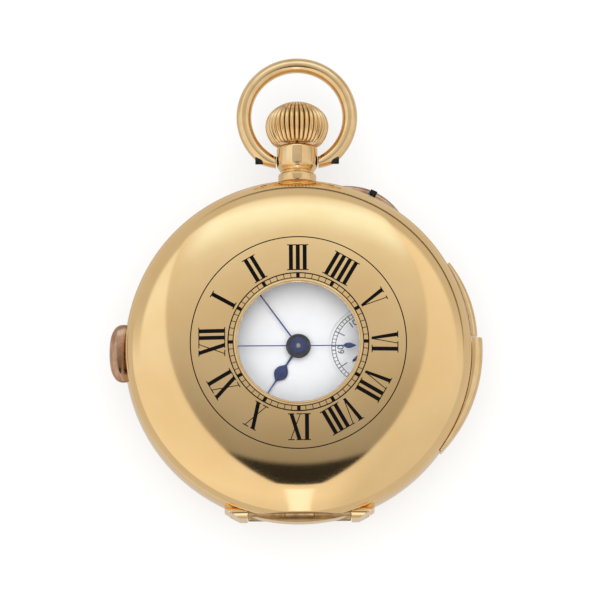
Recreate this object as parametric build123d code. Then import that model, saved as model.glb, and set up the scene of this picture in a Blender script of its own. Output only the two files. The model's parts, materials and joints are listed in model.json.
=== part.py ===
from build123d import *
import os
from math import acos, atan2, cos, degrees, hypot, pi, radians, sin, sqrt

# A half-hunter pocket watch with a repeater slide and a chronograph button.
# Frame: +Z is the dial side, +Y points at the crown, +X is the side with the slide.
# The origin is the centre of the flat face of the back cover. Millimetres.

# ---- driving dimensions -------------------------------------------------------
CASE_R = 27.5          # widest radius of the middle band
BAND_EDGE_R = 27.2     # band radius where the covers meet it
BAND_LOW = 6.4
BAND_HIGH = 12.0
MID_Z = (BAND_LOW + BAND_HIGH) / 2
WALL = 0.8             # gold sheet of the two covers
COVER_R = 27.1
FRONT_RISE = 6.0       # height of the front cover above the band
BACK_RISE = 6.55       # the flat of the back cover cuts this a little short
BACK_SKIRT = 0.4       # straight edge of the back cover
DOME_POWER = 3.2       # larger is a flatter cover with a tighter shoulder
DOME_POINTS = 9
APERTURE_R = 9.57      # free opening in the front cover
APERTURE_BEZEL_R = 10.1
COVER_GLASS_R = 9.85
COVER_GLASS_LOW, COVER_GLASS_HIGH = 17.1, 17.6

HINGE_Y = -26.0        # both cover hinges run along X at this depth
HINGE_RISE = 0.85      # hinge line to the plane where band and cover meet
KNUCKLE_R = 0.75
PIN_R = 0.3
RUNNING_GAP = 0.03
CENTRE_KNUCKLE = 2.2   # half length of the band's middle knuckle
COVER_KNUCKLE = (2.3, 8.1)
COVER_WEB_END = 6.8    # the web under each cover knuckle stops here
COVER_WEB_Y = -25.75
COVER_WEB_RISE = 0.9   # height of the web beyond the edge of the cover
FACET_HALF = 10.0      # half width of the flat cut at the hinge
EAR_START = 8.2
EAR_BEND_X = 9.4       # where the ear's outer face turns back towards the band
EAR_END_X = 11.8
EAR_FRONT_Y = -27.0
EAR_CORNER_Y = -25.4
EAR_ROOT_Y = -24.2
EAR_SPAN = 12.2        # half width of the recess that holds ears and knuckles
WEB_THICK = 0.8
FACET_Y = -26.45       # the covers are cut flat here, just outside the hinge line
RECESS_Y = -25.15
BACKING_Y = -24.5
CUVETTE_HINGE = (-23.6, 5.7)   # y and z of the inner cover's own small hinge
CUVETTE_KNUCKLE_R = 0.3
CUVETTE_PIN_R = 0.12
CUVETTE_LUG_X = 5.0    # middle of the band's lug for that hinge
CUVETTE_LUG_HALF = 1.2

BAND_BORE_R = 25.6
LEDGE_LOW = 10.1
LEDGE_R = 22.3
PLATE_LOW = 10.6
PLATE_HIGH = 12.6
PLATE_R = 23.0
DIAL_R = 22.0
DIAL_TOP = 13.4
SUNK_TOP = 13.1
SUNK_R = 6.5
CRYSTAL_R = 21.5
CRYSTAL_TOP = 16.8
CRYSTAL_EDGE = 15.2
CRYSTAL_THICK = 0.45
DIAL_HOLE_R = 1.2
DIAL_FEET = (19.5, (30, 150, 270))     # circle and angles of the dial's three feet
CASE_SCREWS = (21.6, (110, 250))       # circle and angles of the two case screws
BRIDGE_LOW = 4.4
BRIDGE_HIGH = 6.0
BRIDGE_R = 21.5
COCK_LOW = 3.9
COCK_HIGH = 5.3
SCREW_R = 0.4          # thread of the movement screws and radius of the dial feet
SCREW_HEAD_R = 0.95
SCREW_HEAD = 0.4
SCREW_TIP = 11.8
SPRING_RING = (24.9, 25.5)     # the case springs lie between these radii
SPRING_LOW = 8.7
GONG_RING = (24.1, 24.5)
GONG_BLOCK = (234.0, 240.0)    # angles between which the gong block stands
GONG_LEVELS = ((7.1, -50.0), (7.9, -42.0))     # middle height and far end of each gong

STEM_R = 0.6
STEM_TIP_R = 0.45
STEM_STEP_Y = 26.0
PENDANT_R = 3.25
PENDANT_FOOT_R = 2.5
PENDANT_FOOT_Y = 26.4
PENDANT_TOP = 33.1
CROWN_LOW = 34.0
CROWN_FLUTES = 36
BOW_MEAN_R = 8.42
BOW_WIRE_R = 1.18
BOW_Y = 38.2
BOW_PIVOT_Y = 31.2
BOW_GAP = 3.35         # half the opening between the bow's ends
SCREW_INNER_X = 1.5
SCREW_SEAT_R = 0.55
BOW_SCREW_R = 0.4
SOCKET_R = 1.6         # pocket in the pendant for the crown's collar
SOCKET_Y = 32.2

# Going train: tooth counts give 60 turns of the fourth wheel for one of the centre.
CENTRE = (0.0, 0.0)
FOURTH = (11.25, 0.0)
BARREL = (-6.93, 4.0)
BALANCE = (3.5, -13.2)
CENTRE_TEETH, THIRD_LEAVES, CENTRE_MODULE = 64, 8, 0.19
THIRD_TEETH, FOURTH_LEAVES, THIRD_MODULE = 60, 8, 0.17
FOURTH_TEETH, ESCAPE_LEAVES, FOURTH_MODULE = 60, 6, 0.15
BARREL_TEETH, CENTRE_LEAVES, BARREL_MODULE = 68, 12, 0.2
MOTION_MODULE = 0.17
CANNON_TEETH, MINUTE_TEETH = 12, 36
MINUTE_LEAVES, HOUR_TEETH = 10, 40
WINDING_MODULE = 0.2
CROWN_WHEEL_TEETH, IDLER_TEETH, RATCHET_TEETH = 36, 23, 45
CROWN_WHEEL = (0.0, 14.6)
CONTRATE_R = 3.0       # middle of the crown wheel's upright teeth
CONTRATE_TEETH = 30
WINDING_LEAVES = 14
WINDING_LOW, WINDING_HIGH = 3.7, 4.3   # level of the winding wheels, behind the bridge
WINDING_PINION_R = 1.35
WINDING_PINION_Y = 17.6
RATCHET_BORE_R = 0.6
ESCAPE_R = 2.6
ESCAPE_TEETH = 15
ESCAPE_DIRECTION = 290.0
BALANCE_R = 7.2
ARBOR_R = 0.35
ARBOR_LOW, ARBOR_HIGH = 5.65, 10.95    # pivot ends of the train arbors
ARM_WIDTH = 0.7
PIVOT_R = 0.15
ESCAPE_LOW, ESCAPE_HIGH = 9.6, 9.9
BALANCE_LOW, BALANCE_HIGH = 7.6, 8.4
BALANCE_SCREWS = 14
CENTRE_ARBOR_R = 0.5
CHRONO_BORE_R = 0.25   # bore of the hollow centre arbor
JEWEL_R = 0.7
JEWEL_THICK = 0.4

# Hands: direction measured from +X towards +Y.
HOUR_DIRECTION = -123.2
MINUTE_DIRECTION = 125.8
CHRONO_DIRECTION = 180.0
SECONDS_DIRECTION = 40.0
HOUR_HAND_Z = 13.75
MINUTE_HAND_Z = 14.15
CHRONO_HAND_Z = 14.6
SECONDS_HAND_Z = 13.3
SECONDS_BORE_R = 0.18
CHRONO_TIP_R = 0.2     # end of the chronograph arbor that the hand is pressed on
HAND_THICK = 0.12

# Things on the rim, as angles from +X towards +Y.
SLIDE_TOP, SLIDE_KNEE, SLIDE_END = 4.0, -16.0, -36.0
SLIDE_MIDDLE = -18.0
CHANNEL_END = -14.4      # the hollow under the slide runs from its top to here
TRACK_START, TRACK_MIDDLE, TRACK_END = 5.0, 18.0, 30.6
RIM_START_R = 27.58      # inner face of what slides along the band
TRACK_OUTER_R = 28.42    # outer face at the slide's end, its middle and its far end
TRACK_MIDDLE_R = 28.5
TRACK_END_R = 28.0
TRACK_HALF_HEIGHT = 1.15
SLIDE_OUTER_R = 29.15    # the slide's outer face falls in one arc to its tail
SLIDE_MIDDLE_R = 28.74
SLIDE_END_R = 27.78
SLIDE_HALF_HEIGHT = 1.7
SLIDE_LUG = (24.6, 28.2, 1.2, 0.5)     # inner and outer radius, half angle, half height
SET_PIN_ANGLE = 64.8
PUSHER_POCKET_X = 26.1   # floor of the oval pocket that the button sinks into
PUSHER_SHANK_R = 0.5
SET_PIN_R = 0.45
SET_PIN_HEAD = (28.0, 28.45, 0.45, 0.6)    # inner and outer end, half width, half height
GUARD_OUTER_R = 28.6
GUARD_BALL_R = 13.0      # roundness of the guard's outer face
GUARD_HALF_ANGLE = 10.3


# ---- shape helpers ------------------------------------------------------------
def disc(radius, low, high, x=0.0, y=0.0, bore=0.0):
    """Round plate or washer standing on (x, y) between two heights."""
    body = Cylinder(radius, high - low)
    if bore:
        body -= Cylinder(bore, high - low)
    return Pos(x, y, (low + high) / 2) * body


def block(x_low, x_high, y_low, y_high, low, high):
    """Box between two corners."""
    middle = Pos((x_low + x_high) / 2, (y_low + y_high) / 2, (low + high) / 2)
    return middle * Box(x_high - x_low, y_high - y_low, high - low)


def slab(points, low, high):
    """Flat plate with a polygon outline between two heights."""
    return Pos(0, 0, low) * extrude(make_face(Polyline(points, close=True)), high - low)


def turned(*edges):
    """Body of revolution about Z whose half outline is drawn as (radius, height)."""
    return revolve(Plane.XZ * make_face(edges), Axis.Z)


def turned_on_stem(*edges):
    """Body of revolution about the stem, drawn as (radius, distance from the centre)."""
    return Pos(0, 0, MID_Z) * revolve(make_face(edges), Axis.Y)


def rod_along_y(radius, low, high, x=0.0, z=MID_Z):
    return Pos(x, (low + high) / 2, z) * Rot(90, 0, 0) * Cylinder(radius, high - low)


def rod_along_x(radius, low, high, y, z):
    return Pos((low + high) / 2, y, z) * Rot(0, 90, 0) * Cylinder(radius, high - low)


def polar(radius, angle, x=0.0, y=0.0):
    """Point at a radius and an angle in degrees about (x, y)."""
    return (x + radius * cos(radians(angle)), y + radius * sin(radians(angle)))


def sector(inner, outer, start, end, low, high):
    """Part of a ring between two angles in degrees."""
    middle = (start + end) / 2
    outline = [
        ThreePointArc(polar(outer, start), polar(outer, middle), polar(outer, end)),
        Line(polar(outer, end), polar(inner, end)),
        ThreePointArc(polar(inner, end), polar(inner, middle), polar(inner, start)),
        Line(polar(inner, start), polar(outer, start)),
    ]
    return Pos(0, 0, low) * extrude(make_face(outline), high - low)


def wheel(teeth, module, low, high, x=0.0, y=0.0, start=0.0):
    """Spur gear with straight-sided teeth; one tooth points along start degrees."""
    pitch_r = teeth * module / 2
    root = pitch_r - 1.15 * module
    tip = pitch_r + 0.8 * module
    step = 360 / teeth
    corners = []
    for index in range(teeth):
        middle = start + index * step
        for radius, share in ((root, -0.25), (tip, -0.09), (tip, 0.09), (root, 0.25)):
            corners.append(polar(radius, middle + share * step, x, y))
    return slab(corners, low, high)


def windows(rim, hub, arms, low, high, x, y):
    """The openings between the arms of a wheel, to be cut out of it."""
    opening = disc(rim, low, high, x, y, bore=hub)
    for index in range(arms):
        arm = Pos(x, y, (low + high) / 2) * Rot(0, 0, index * 360 / arms)
        opening -= arm * Pos(rim / 2, 0, 0) * Box(rim, ARM_WIDTH, high - low)
    return opening


def arbor(x, y, low, high):
    """Steel arbor with a fine pivot at each end."""
    shoulder = 0.35
    body = disc(ARBOR_R, low + shoulder, high - shoulder, x, y)
    return body + disc(PIVOT_R, low, high, x, y)


def dome(radius, rise, base, sign, inner_r):
    """Cover outline from inner_r out to the rim: a flattened ellipse."""
    first = (inner_r / radius) ** (DOME_POWER / 2)
    start = degrees(acos(sqrt(1 - first * first)))
    points = []
    for index in range(DOME_POINTS + 1):
        angle = radians(start + (90 - start) * index / DOME_POINTS)
        points.append((radius * sin(angle) ** (2 / DOME_POWER), base + sign * rise * cos(angle)))
    return points


def spiral(x, y, inner, outer, turns, thick, low, high):
    """Flat coiled spring."""
    steps = 12 * turns
    near = []
    far = []
    for index in range(steps + 1):
        radius = inner + (outer - inner) * index / steps
        near.append(polar(radius, 30 * index, x, y))
        far.append(polar(radius + thick, 30 * index, x, y))
    outline = [Spline(near), Line(near[-1], far[-1]), Spline(far), Line(far[0], near[0])]
    return Pos(0, 0, low) * extrude(make_face(outline), high - low)


def placed_between(start, end, first_length, second_length, side):
    """Point at two given distances from two points, on the chosen side."""
    gap_x, gap_y = end[0] - start[0], end[1] - start[1]
    gap = hypot(gap_x, gap_y)
    along = (gap * gap + first_length ** 2 - second_length ** 2) / (2 * gap)
    across = side * sqrt(max(first_length ** 2 - along ** 2, 0))
    return (start[0] + (along * gap_x - across * gap_y) / gap,
            start[1] + (along * gap_y + across * gap_x) / gap)


def heading(start, end):
    """Direction in degrees from one point to another."""
    return degrees(atan2(end[1] - start[1], end[0] - start[0]))


def mating_start(teeth, towards_other):
    """Turns a gear so that a gap, not a tooth, faces its neighbour."""
    return towards_other + 180 / teeth


def second_mating_start(teeth, towards_idler, idler_teeth, idler_start):
    """The same for a gear on an idler whose teeth are already placed by another gear."""
    step = 360 / idler_teeth
    share = ((towards_idler + 180 - idler_start) / step) % 1
    return towards_idler + (share + 0.5) * 360 / teeth


# ---- places that follow from the gear sizes ------------------------------------
THIRD = placed_between(CENTRE, FOURTH, CENTRE_MODULE * (CENTRE_TEETH + THIRD_LEAVES) / 2,
                       THIRD_MODULE * (THIRD_TEETH + FOURTH_LEAVES) / 2, -1)
ESCAPE = polar(FOURTH_MODULE * (FOURTH_TEETH + ESCAPE_LEAVES) / 2, ESCAPE_DIRECTION, *FOURTH)
MINUTE_WHEEL = (0.0, MOTION_MODULE * (CANNON_TEETH + MINUTE_TEETH) / 2)
HOUR_MODULE = 2 * MINUTE_WHEEL[1] / (MINUTE_LEAVES + HOUR_TEETH)
PALLET_LINE = heading(ESCAPE, BALANCE)
PALLET = polar(3.4, PALLET_LINE, *ESCAPE)
IDLER = placed_between(CROWN_WHEEL, BARREL, WINDING_MODULE * (CROWN_WHEEL_TEETH + IDLER_TEETH) / 2,
                       WINDING_MODULE * (IDLER_TEETH + RATCHET_TEETH) / 2, 1)
TRAIN_ARBORS = [THIRD, FOURTH, ESCAPE, PALLET]
BARREL_FEET = [(-17.5, 1.0), (-9.5, 16.5), (9.0, 14.5)]
TRAIN_FEET = [(18.0, 4.0), (17.5, -8.0), (13.0, -13.0)]
COCK_FOOT = (-8.0, -14.4)
COLUMN_WHEEL = (-18.0, -3.0)
FOOT_R = 1.6
STUD_R = 0.3
STUD_END = PLATE_LOW - 0.05
FRONT_HINGE_Z = BAND_HIGH - HINGE_RISE
BACK_HINGE_Z = BAND_LOW + HINGE_RISE


# ---- case ----------------------------------------------------------------------
def hinge_ear(side):
    """Faceted end of both cover hinges, standing proud of the round band."""
    outline = [(EAR_START, EAR_ROOT_Y), (EAR_START, EAR_FRONT_Y), (EAR_BEND_X, EAR_FRONT_Y),
               (EAR_END_X, EAR_CORNER_Y), (EAR_END_X, EAR_ROOT_Y)]
    outline = [(side * x, y) for x, y in outline]
    envelope = slab(outline, BAND_LOW, BAND_HIGH)
    solid = block(-EAR_SPAN, EAR_SPAN, EAR_FRONT_Y - 1, EAR_ROOT_Y + 1, BACK_HINGE_Z, FRONT_HINGE_Z)
    for height in (BACK_HINGE_Z, FRONT_HINGE_Z):
        solid += rod_along_x(KNUCKLE_R, -EAR_SPAN, EAR_SPAN, HINGE_Y, height)
    return envelope & solid


def mid_band():
    profile = [
        Polyline((BAND_EDGE_R, BAND_HIGH), (24.9, BAND_HIGH), (24.9, 12.5), (24.3, 12.5), (24.3, BAND_HIGH),
                 (PLATE_R, BAND_HIGH), (PLATE_R, PLATE_LOW), (LEDGE_R, PLATE_LOW), (LEDGE_R, LEDGE_LOW),
                 (BAND_BORE_R, LEDGE_LOW), (BAND_BORE_R, BAND_LOW), (BAND_EDGE_R, BAND_LOW)),
        ThreePointArc((BAND_EDGE_R, BAND_LOW), (CASE_R, MID_Z), (BAND_EDGE_R, BAND_HIGH)),
    ]
    band = turned(*profile)
    band += disc(BAND_BORE_R, BAND_LOW, LEDGE_LOW) & block(-27, 27, -27, BACKING_Y, BAND_LOW, LEDGE_LOW)
    band -= block(-EAR_SPAN, EAR_SPAN, -28, RECESS_Y, FRONT_HINGE_Z - WEB_THICK, BAND_HIGH)
    band -= block(-EAR_SPAN, EAR_SPAN, -28, RECESS_Y, BAND_LOW, BACK_HINGE_Z + WEB_THICK)
    band += hinge_ear(1) + hinge_ear(-1)
    for height in (BACK_HINGE_Z, FRONT_HINGE_Z):
        band += rod_along_x(KNUCKLE_R, -CENTRE_KNUCKLE, CENTRE_KNUCKLE, HINGE_Y, height)
        inward = WEB_THICK if height < MID_Z else -WEB_THICK
        web = sorted((height, height + inward))
        band += block(-CENTRE_KNUCKLE, CENTRE_KNUCKLE, HINGE_Y - KNUCKLE_R, RECESS_Y, *web)
        band -= rod_along_x(PIN_R, -EAR_SPAN, EAR_SPAN, HINGE_Y, height)
    band -= rod_along_y(PENDANT_FOOT_R, PENDANT_FOOT_Y, 29)
    band -= rod_along_y(STEM_R + RUNNING_GAP, 20, 29)
    band -= rod_along_x(PUSHER_SHANK_R + RUNNING_GAP, -29, -20, 0, MID_Z)
    band -= Pos(-29, 0, MID_Z) * Rot(0, 90, 0) * extrude(Ellipse(1.8, 4.75), 29 - PUSHER_POCKET_X)
    band -= sector(24, 29, -17.5, 4.5, MID_Z - 0.55, MID_Z + 0.55)
    band -= Rot(0, 0, SET_PIN_ANGLE) * rod_along_x(SET_PIN_R + RUNNING_GAP, 20, 30, 0, MID_Z)
    for side in (-1, 1):
        band += cuvette_lug(side)
    return band


def cuvette_lug(side):
    """Knuckle under the band that carries one end of the inner cover's hinge pin."""
    hinge_y, hinge_z = CUVETTE_HINGE
    near, far = side * CUVETTE_LUG_X - CUVETTE_LUG_HALF, side * CUVETTE_LUG_X + CUVETTE_LUG_HALF
    lug = rod_along_x(CUVETTE_KNUCKLE_R, near, far, hinge_y, hinge_z)
    lug += block(near, far, hinge_y - 1, hinge_y, hinge_z - CUVETTE_KNUCKLE_R, BAND_LOW + 0.2)
    return lug - rod_along_x(CUVETTE_PIN_R, near, far, hinge_y, hinge_z)


def hinge_pins():
    pins = [rod_along_x(PIN_R, -10.3, 10.3, HINGE_Y, height) for height in (BACK_HINGE_Z, FRONT_HINGE_Z)]
    pin_end = CUVETTE_LUG_X + CUVETTE_LUG_HALF
    pins.append(rod_along_x(CUVETTE_PIN_R, -pin_end, pin_end, *CUVETTE_HINGE))
    return Compound(children=[pin.solid() for pin in pins])


def front_shell():
    """Dished gold sheet between its outer and inner domes, open at the middle."""
    outer = dome(COVER_R, FRONT_RISE, BAND_HIGH, 1, APERTURE_BEZEL_R)
    inner = dome(COVER_R - WALL, FRONT_RISE - WALL, BAND_HIGH, 1, APERTURE_BEZEL_R)
    down = (0, -1)
    return turned(
        Spline(outer, tangents=[(outer[1][0] - outer[0][0], outer[1][1] - outer[0][1]), down]),
        Spline(inner, tangents=[(inner[1][0] - inner[0][0], inner[1][1] - inner[0][1]), down]),
        Line(outer[0], inner[0]),
        Line(outer[-1], inner[-1]),
    )


def cover_knuckles(hinge_z, reach_z):
    """The cover's two knuckles and the webs that carry them."""
    knuckles = None
    low, high = sorted((hinge_z, reach_z))
    for side in (-1, 1):
        near, far = sorted((side * COVER_KNUCKLE[0], side * COVER_KNUCKLE[1]))
        barrel = rod_along_x(KNUCKLE_R, near, far, HINGE_Y, hinge_z)
        near, far = sorted((side * COVER_KNUCKLE[0], side * COVER_WEB_END))
        barrel += block(near, far, FACET_Y, COVER_WEB_Y, low, high)
        knuckles = barrel if knuckles is None else knuckles + barrel
    return knuckles


def front_cover():
    cover = front_shell()
    cover -= block(-FACET_HALF, FACET_HALF, -30, FACET_Y, BAND_HIGH, 16)
    cover += cover_knuckles(FRONT_HINGE_Z, BAND_HIGH + COVER_WEB_RISE)
    return cover - rod_along_x(PIN_R + RUNNING_GAP, -9, 9, HINGE_Y, FRONT_HINGE_Z)


def back_cover():
    rise = BACK_RISE - BACK_SKIRT
    base = BAND_LOW - BACK_SKIRT
    outer = dome(COVER_R, rise, base, -1, 0.01)
    inner = dome(COVER_R - WALL, rise - WALL, base, -1, 0.01)
    shell = turned(
        Line((0, outer[0][1]), outer[0]),
        Spline(outer, tangents=[(1, 0), (0, 1)]),
        Line(outer[-1], (COVER_R, BAND_LOW)),
        Line((COVER_R, BAND_LOW), (COVER_R - WALL, BAND_LOW)),
        Line((COVER_R - WALL, BAND_LOW), inner[-1]),
        Spline(inner, tangents=[(1, 0), (0, 1)]),
        Line(inner[0], (0, inner[0][1])),
        Line((0, inner[0][1]), (0, outer[0][1])),
    )
    shell -= block(-30, 30, -30, 30, -2, 0)
    shell -= block(-FACET_HALF, FACET_HALF, -30, FACET_Y, 2, BAND_LOW)
    shell += cover_knuckles(BACK_HINGE_Z, BAND_LOW - COVER_WEB_RISE)
    return shell - rod_along_x(PIN_R + RUNNING_GAP, -9, 9, HINGE_Y, BACK_HINGE_Z)


def aperture_bezel():
    """Thin ring with a rebate for the glass and an eased upper edge."""
    profile = Polyline((APERTURE_R, COVER_GLASS_HIGH), (COVER_GLASS_R, COVER_GLASS_HIGH),
                       (COVER_GLASS_R, COVER_GLASS_LOW), (APERTURE_BEZEL_R, COVER_GLASS_LOW),
                       (APERTURE_BEZEL_R, 17.92), (9.98, 18.0), (9.75, 18.0), (APERTURE_R, 17.88), close=True)
    return turned(profile)


def cover_glass():
    return disc(COVER_GLASS_R, COVER_GLASS_LOW, COVER_GLASS_HIGH)


def cuvette():
    """Inner back: a shallow dish with a hinge knuckle of its own."""
    dish = turned(Polyline((0, 2.7), (20.3, 2.7), (25.0, 6.0), (25.4, 6.0), (25.4, 6.4), (24.8, 6.4),
                           (20.1, 3.2), (0, 3.2), close=True))
    hinge_y, hinge_z = CUVETTE_HINGE
    knuckle_half = 3.4
    dish -= block(-20, 20, -27, hinge_y + 0.5, 2, 7)
    dish += block(-knuckle_half, knuckle_half, hinge_y, hinge_y + 0.9, hinge_z - 1, hinge_z + 0.2)
    dish += rod_along_x(CUVETTE_KNUCKLE_R, -knuckle_half, knuckle_half, hinge_y, hinge_z)
    return dish - rod_along_x(CUVETTE_PIN_R + RUNNING_GAP, -4, 4, hinge_y, hinge_z)


def glass_bezel():
    return turned(
        ThreePointArc((25.6, BAND_HIGH), (24.3, 13.9), (21.9, 15.15)),
        Polyline((21.9, 15.15), (CRYSTAL_R, 15.15), (CRYSTAL_R, 14.75), (21.0, 14.75), (21.0, 14.35),
                 (22.3, 13.6), (23.3, 12.5), (24.9, 12.5), (24.9, BAND_HIGH), (25.6, BAND_HIGH)),
    )


def dial_crystal():
    """Low watch glass: one sphere cut from another of the same size a little lower."""
    sag = CRYSTAL_TOP - CRYSTAL_EDGE
    sphere_r = (CRYSTAL_R ** 2 + sag ** 2) / (2 * sag)
    edge_low = CRYSTAL_EDGE - CRYSTAL_THICK
    body = disc(CRYSTAL_R, edge_low, CRYSTAL_TOP + 0.2)
    body &= Pos(0, 0, CRYSTAL_TOP - sphere_r) * Sphere(sphere_r)
    return body - Pos(0, 0, CRYSTAL_TOP - CRYSTAL_THICK - sphere_r) * Sphere(sphere_r)


def pendant():
    bore = STEM_R + RUNNING_GAP
    neck = turned_on_stem(Polyline((bore, 27.0), (3.0, 27.0), (3.03, 28.8), (2.45, 29.0), (2.45, 29.2),
                                   (2.73, 29.3), (PENDANT_R, 30.2), (PENDANT_R, PENDANT_TOP),
                                   (2.9, PENDANT_TOP + 0.3), (SOCKET_R, PENDANT_TOP + 0.3),
                                   (SOCKET_R, SOCKET_Y), (bore, SOCKET_Y), close=True))
    neck -= disc(CASE_R, 5, 13)
    neck += rod_along_y(PENDANT_FOOT_R, PENDANT_FOOT_Y, 27.8) - rod_along_y(bore, PENDANT_FOOT_Y, 27.8)
    for side in (-1, 1):
        near, far = sorted((side * SCREW_INNER_X, side * 4))
        neck -= rod_along_x(SCREW_SEAT_R, near, far, BOW_PIVOT_Y, MID_Z)
    return neck


def bow():
    ring = Pos(0, BOW_Y, MID_Z) * Torus(BOW_MEAN_R, BOW_WIRE_R)
    ring -= block(-BOW_GAP, BOW_GAP, 28, 34, 5, 14)
    return ring - rod_along_x(SCREW_SEAT_R, -8, 8, BOW_PIVOT_Y, MID_Z) + bow_sleeves()


def bow_sleeves():
    """Bosses inside the bow ends that turn on the screws with a running fit."""
    sleeves = None
    for side in (-1, 1):
        near, far = sorted((side * (BOW_GAP + 0.05), side * 5.2))
        sleeve = rod_along_x(0.7, near, far, BOW_PIVOT_Y, MID_Z)
        sleeve -= rod_along_x(BOW_SCREW_R + RUNNING_GAP, near, far, BOW_PIVOT_Y, MID_Z)
        sleeves = sleeve if sleeves is None else sleeves + sleeve
    return sleeves


def bow_screws():
    screws = []
    # inner end, outer end and radius of the shank, the head and the threaded end
    steps = ((SCREW_INNER_X, 5.3, BOW_SCREW_R), (5.3, 5.9, 0.5),
             (SCREW_INNER_X, PENDANT_R - 0.1, SCREW_SEAT_R))
    for side in (-1, 1):
        screw = None
        for inner, outer, radius in steps:
            near, far = sorted((side * inner, side * outer))
            step = rod_along_x(radius, near, far, BOW_PIVOT_Y, MID_Z)
            screw = step if screw is None else screw + step
        screws.append(screw.solid())
    return Compound(children=screws)


def crown():
    """Onion crown: fluted rings lofted into one body, with a short collar below."""
    # height above the underside, radius of the ridges, and depth of the flutes
    rings = [(0.0, 3.9, 0.25), (0.9, 4.65, 0.4), (2.5, 5.02, 0.45), (4.2, 4.5, 0.42), (5.5, 3.2, 0.35),
             (6.3, 1.9, 0.12)]
    faces = []
    for height, ridge, flute in rings:
        corners = []
        for index in range(CROWN_FLUTES * 2):
            radius = ridge if index % 2 else ridge - flute
            corners.append(polar(radius, index * 180 / CROWN_FLUTES))
        faces.append(Pos(0, 0, height) * make_face(Polyline(corners, close=True)))
    body = loft(faces, ruled=True)
    body += disc(1.65, 6.3, 6.6)
    body += disc(SOCKET_R - 0.1, -0.9, 0.0)
    body -= disc(STEM_R, -0.9, 4.0)
    return Pos(0, CROWN_LOW, MID_Z) * Rot(-90, 0, 0) * body


def winding_stem():
    """Full thickness through the pendant and thinner inside the case."""
    return rod_along_y(STEM_R, STEM_STEP_Y, CROWN_LOW + 4.0) + rod_along_y(STEM_TIP_R, 15.6, STEM_STEP_Y)


def stem_collar():
    """Slips along the pendant bore with the stem and presses the lock spring."""
    low, high = 24.8, 25.4
    return rod_along_y(STEM_R, low, high) - rod_along_y(STEM_TIP_R + RUNNING_GAP, low, high)


# ---- things on the rim ------------------------------------------------------------
def rim_piece(outer_radii, angles, half_height):
    """Bar lying along the band: its outer face is an arc through three radii at three angles."""
    outer = [polar(radius, angle) for radius, angle in zip(outer_radii, angles)]
    inner = [polar(RIM_START_R, angle) for angle in angles]
    outline = [
        ThreePointArc(*outer),
        Line(outer[-1], inner[-1]),
        ThreePointArc(*reversed(inner)),
        Line(inner[0], outer[0]),
    ]
    return Pos(0, 0, MID_Z - half_height) * extrude(make_face(outline), 2 * half_height)


def slide_track():
    """Raised guide on the band that the slide's hollow underside passes over."""
    outer = (TRACK_OUTER_R, TRACK_MIDDLE_R, TRACK_END_R)
    return rim_piece(outer, (TRACK_START, TRACK_MIDDLE, TRACK_END), TRACK_HALF_HEIGHT)


def repeater_slide():
    """Thumb piece with a step at its upper end, a long tapering tail, and a lug in the band slot."""
    outer = (SLIDE_OUTER_R, SLIDE_MIDDLE_R, SLIDE_END_R)
    body = rim_piece(outer, (SLIDE_TOP, SLIDE_MIDDLE, SLIDE_END), SLIDE_HALF_HEIGHT)
    channel_half = TRACK_HALF_HEIGHT + 0.15
    channel_r = TRACK_OUTER_R + 0.16
    body -= sector(27.0, channel_r, CHANNEL_END, SLIDE_TOP + 1, MID_Z - channel_half, MID_Z + channel_half)
    lug_inner, lug_outer, lug_angle, lug_half = SLIDE_LUG
    return body + sector(lug_inner, lug_outer, SLIDE_KNEE - lug_angle, SLIDE_KNEE + lug_angle,
                         MID_Z - lug_half, MID_Z + lug_half)


def chrono_pusher():
    """Oval domed button with a shank through the band."""
    # distance out from the case centre, half height and half length of the cap
    sections = [(26.95, 1.7, 4.65), (28.3, 1.7, 4.65), (28.9, 1.66, 4.5), (29.4, 1.45, 3.95),
                (29.9, 0.8, 2.6)]
    rings = [Pos(0, 0, out) * make_face(Ellipse(half_height, half_length).edges())
             for out, half_height, half_length in sections]
    cap = Pos(0, 0, MID_Z) * Rot(0, -90, 0) * loft(rings, ruled=True)
    return cap + rod_along_x(PUSHER_SHANK_R, -27.5, -24.6, 0, MID_Z)


def set_pin_guard():
    """Lens-shaped olivette that shields the hand-setting pin."""
    lens = Rot(0, 0, SET_PIN_ANGLE) * Pos(GUARD_OUTER_R - GUARD_BALL_R, 0, MID_Z) * Sphere(GUARD_BALL_R)
    start, end = SET_PIN_ANGLE - GUARD_HALF_ANGLE, SET_PIN_ANGLE + GUARD_HALF_ANGLE
    keep = sector(CASE_R - 0.2, 30, start, end, MID_Z - 1.5, MID_Z + 1.5)
    guard = (lens & keep) - disc(CASE_R + 0.05, 5, 13)
    return guard - Rot(0, 0, SET_PIN_ANGLE) * block(27, 30, -0.55, 0.55, MID_Z - 0.7, MID_Z + 0.7)


def set_pin():
    """Round pin through the band with a flat nail head."""
    inner, outer, half_width, half_height = SET_PIN_HEAD
    head = block(inner, outer, -half_width, half_width, MID_Z - half_height, MID_Z + half_height)
    return Rot(0, 0, SET_PIN_ANGLE) * (head + rod_along_x(SET_PIN_R, 24.4, inner + 0.1, 0, MID_Z))


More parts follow.
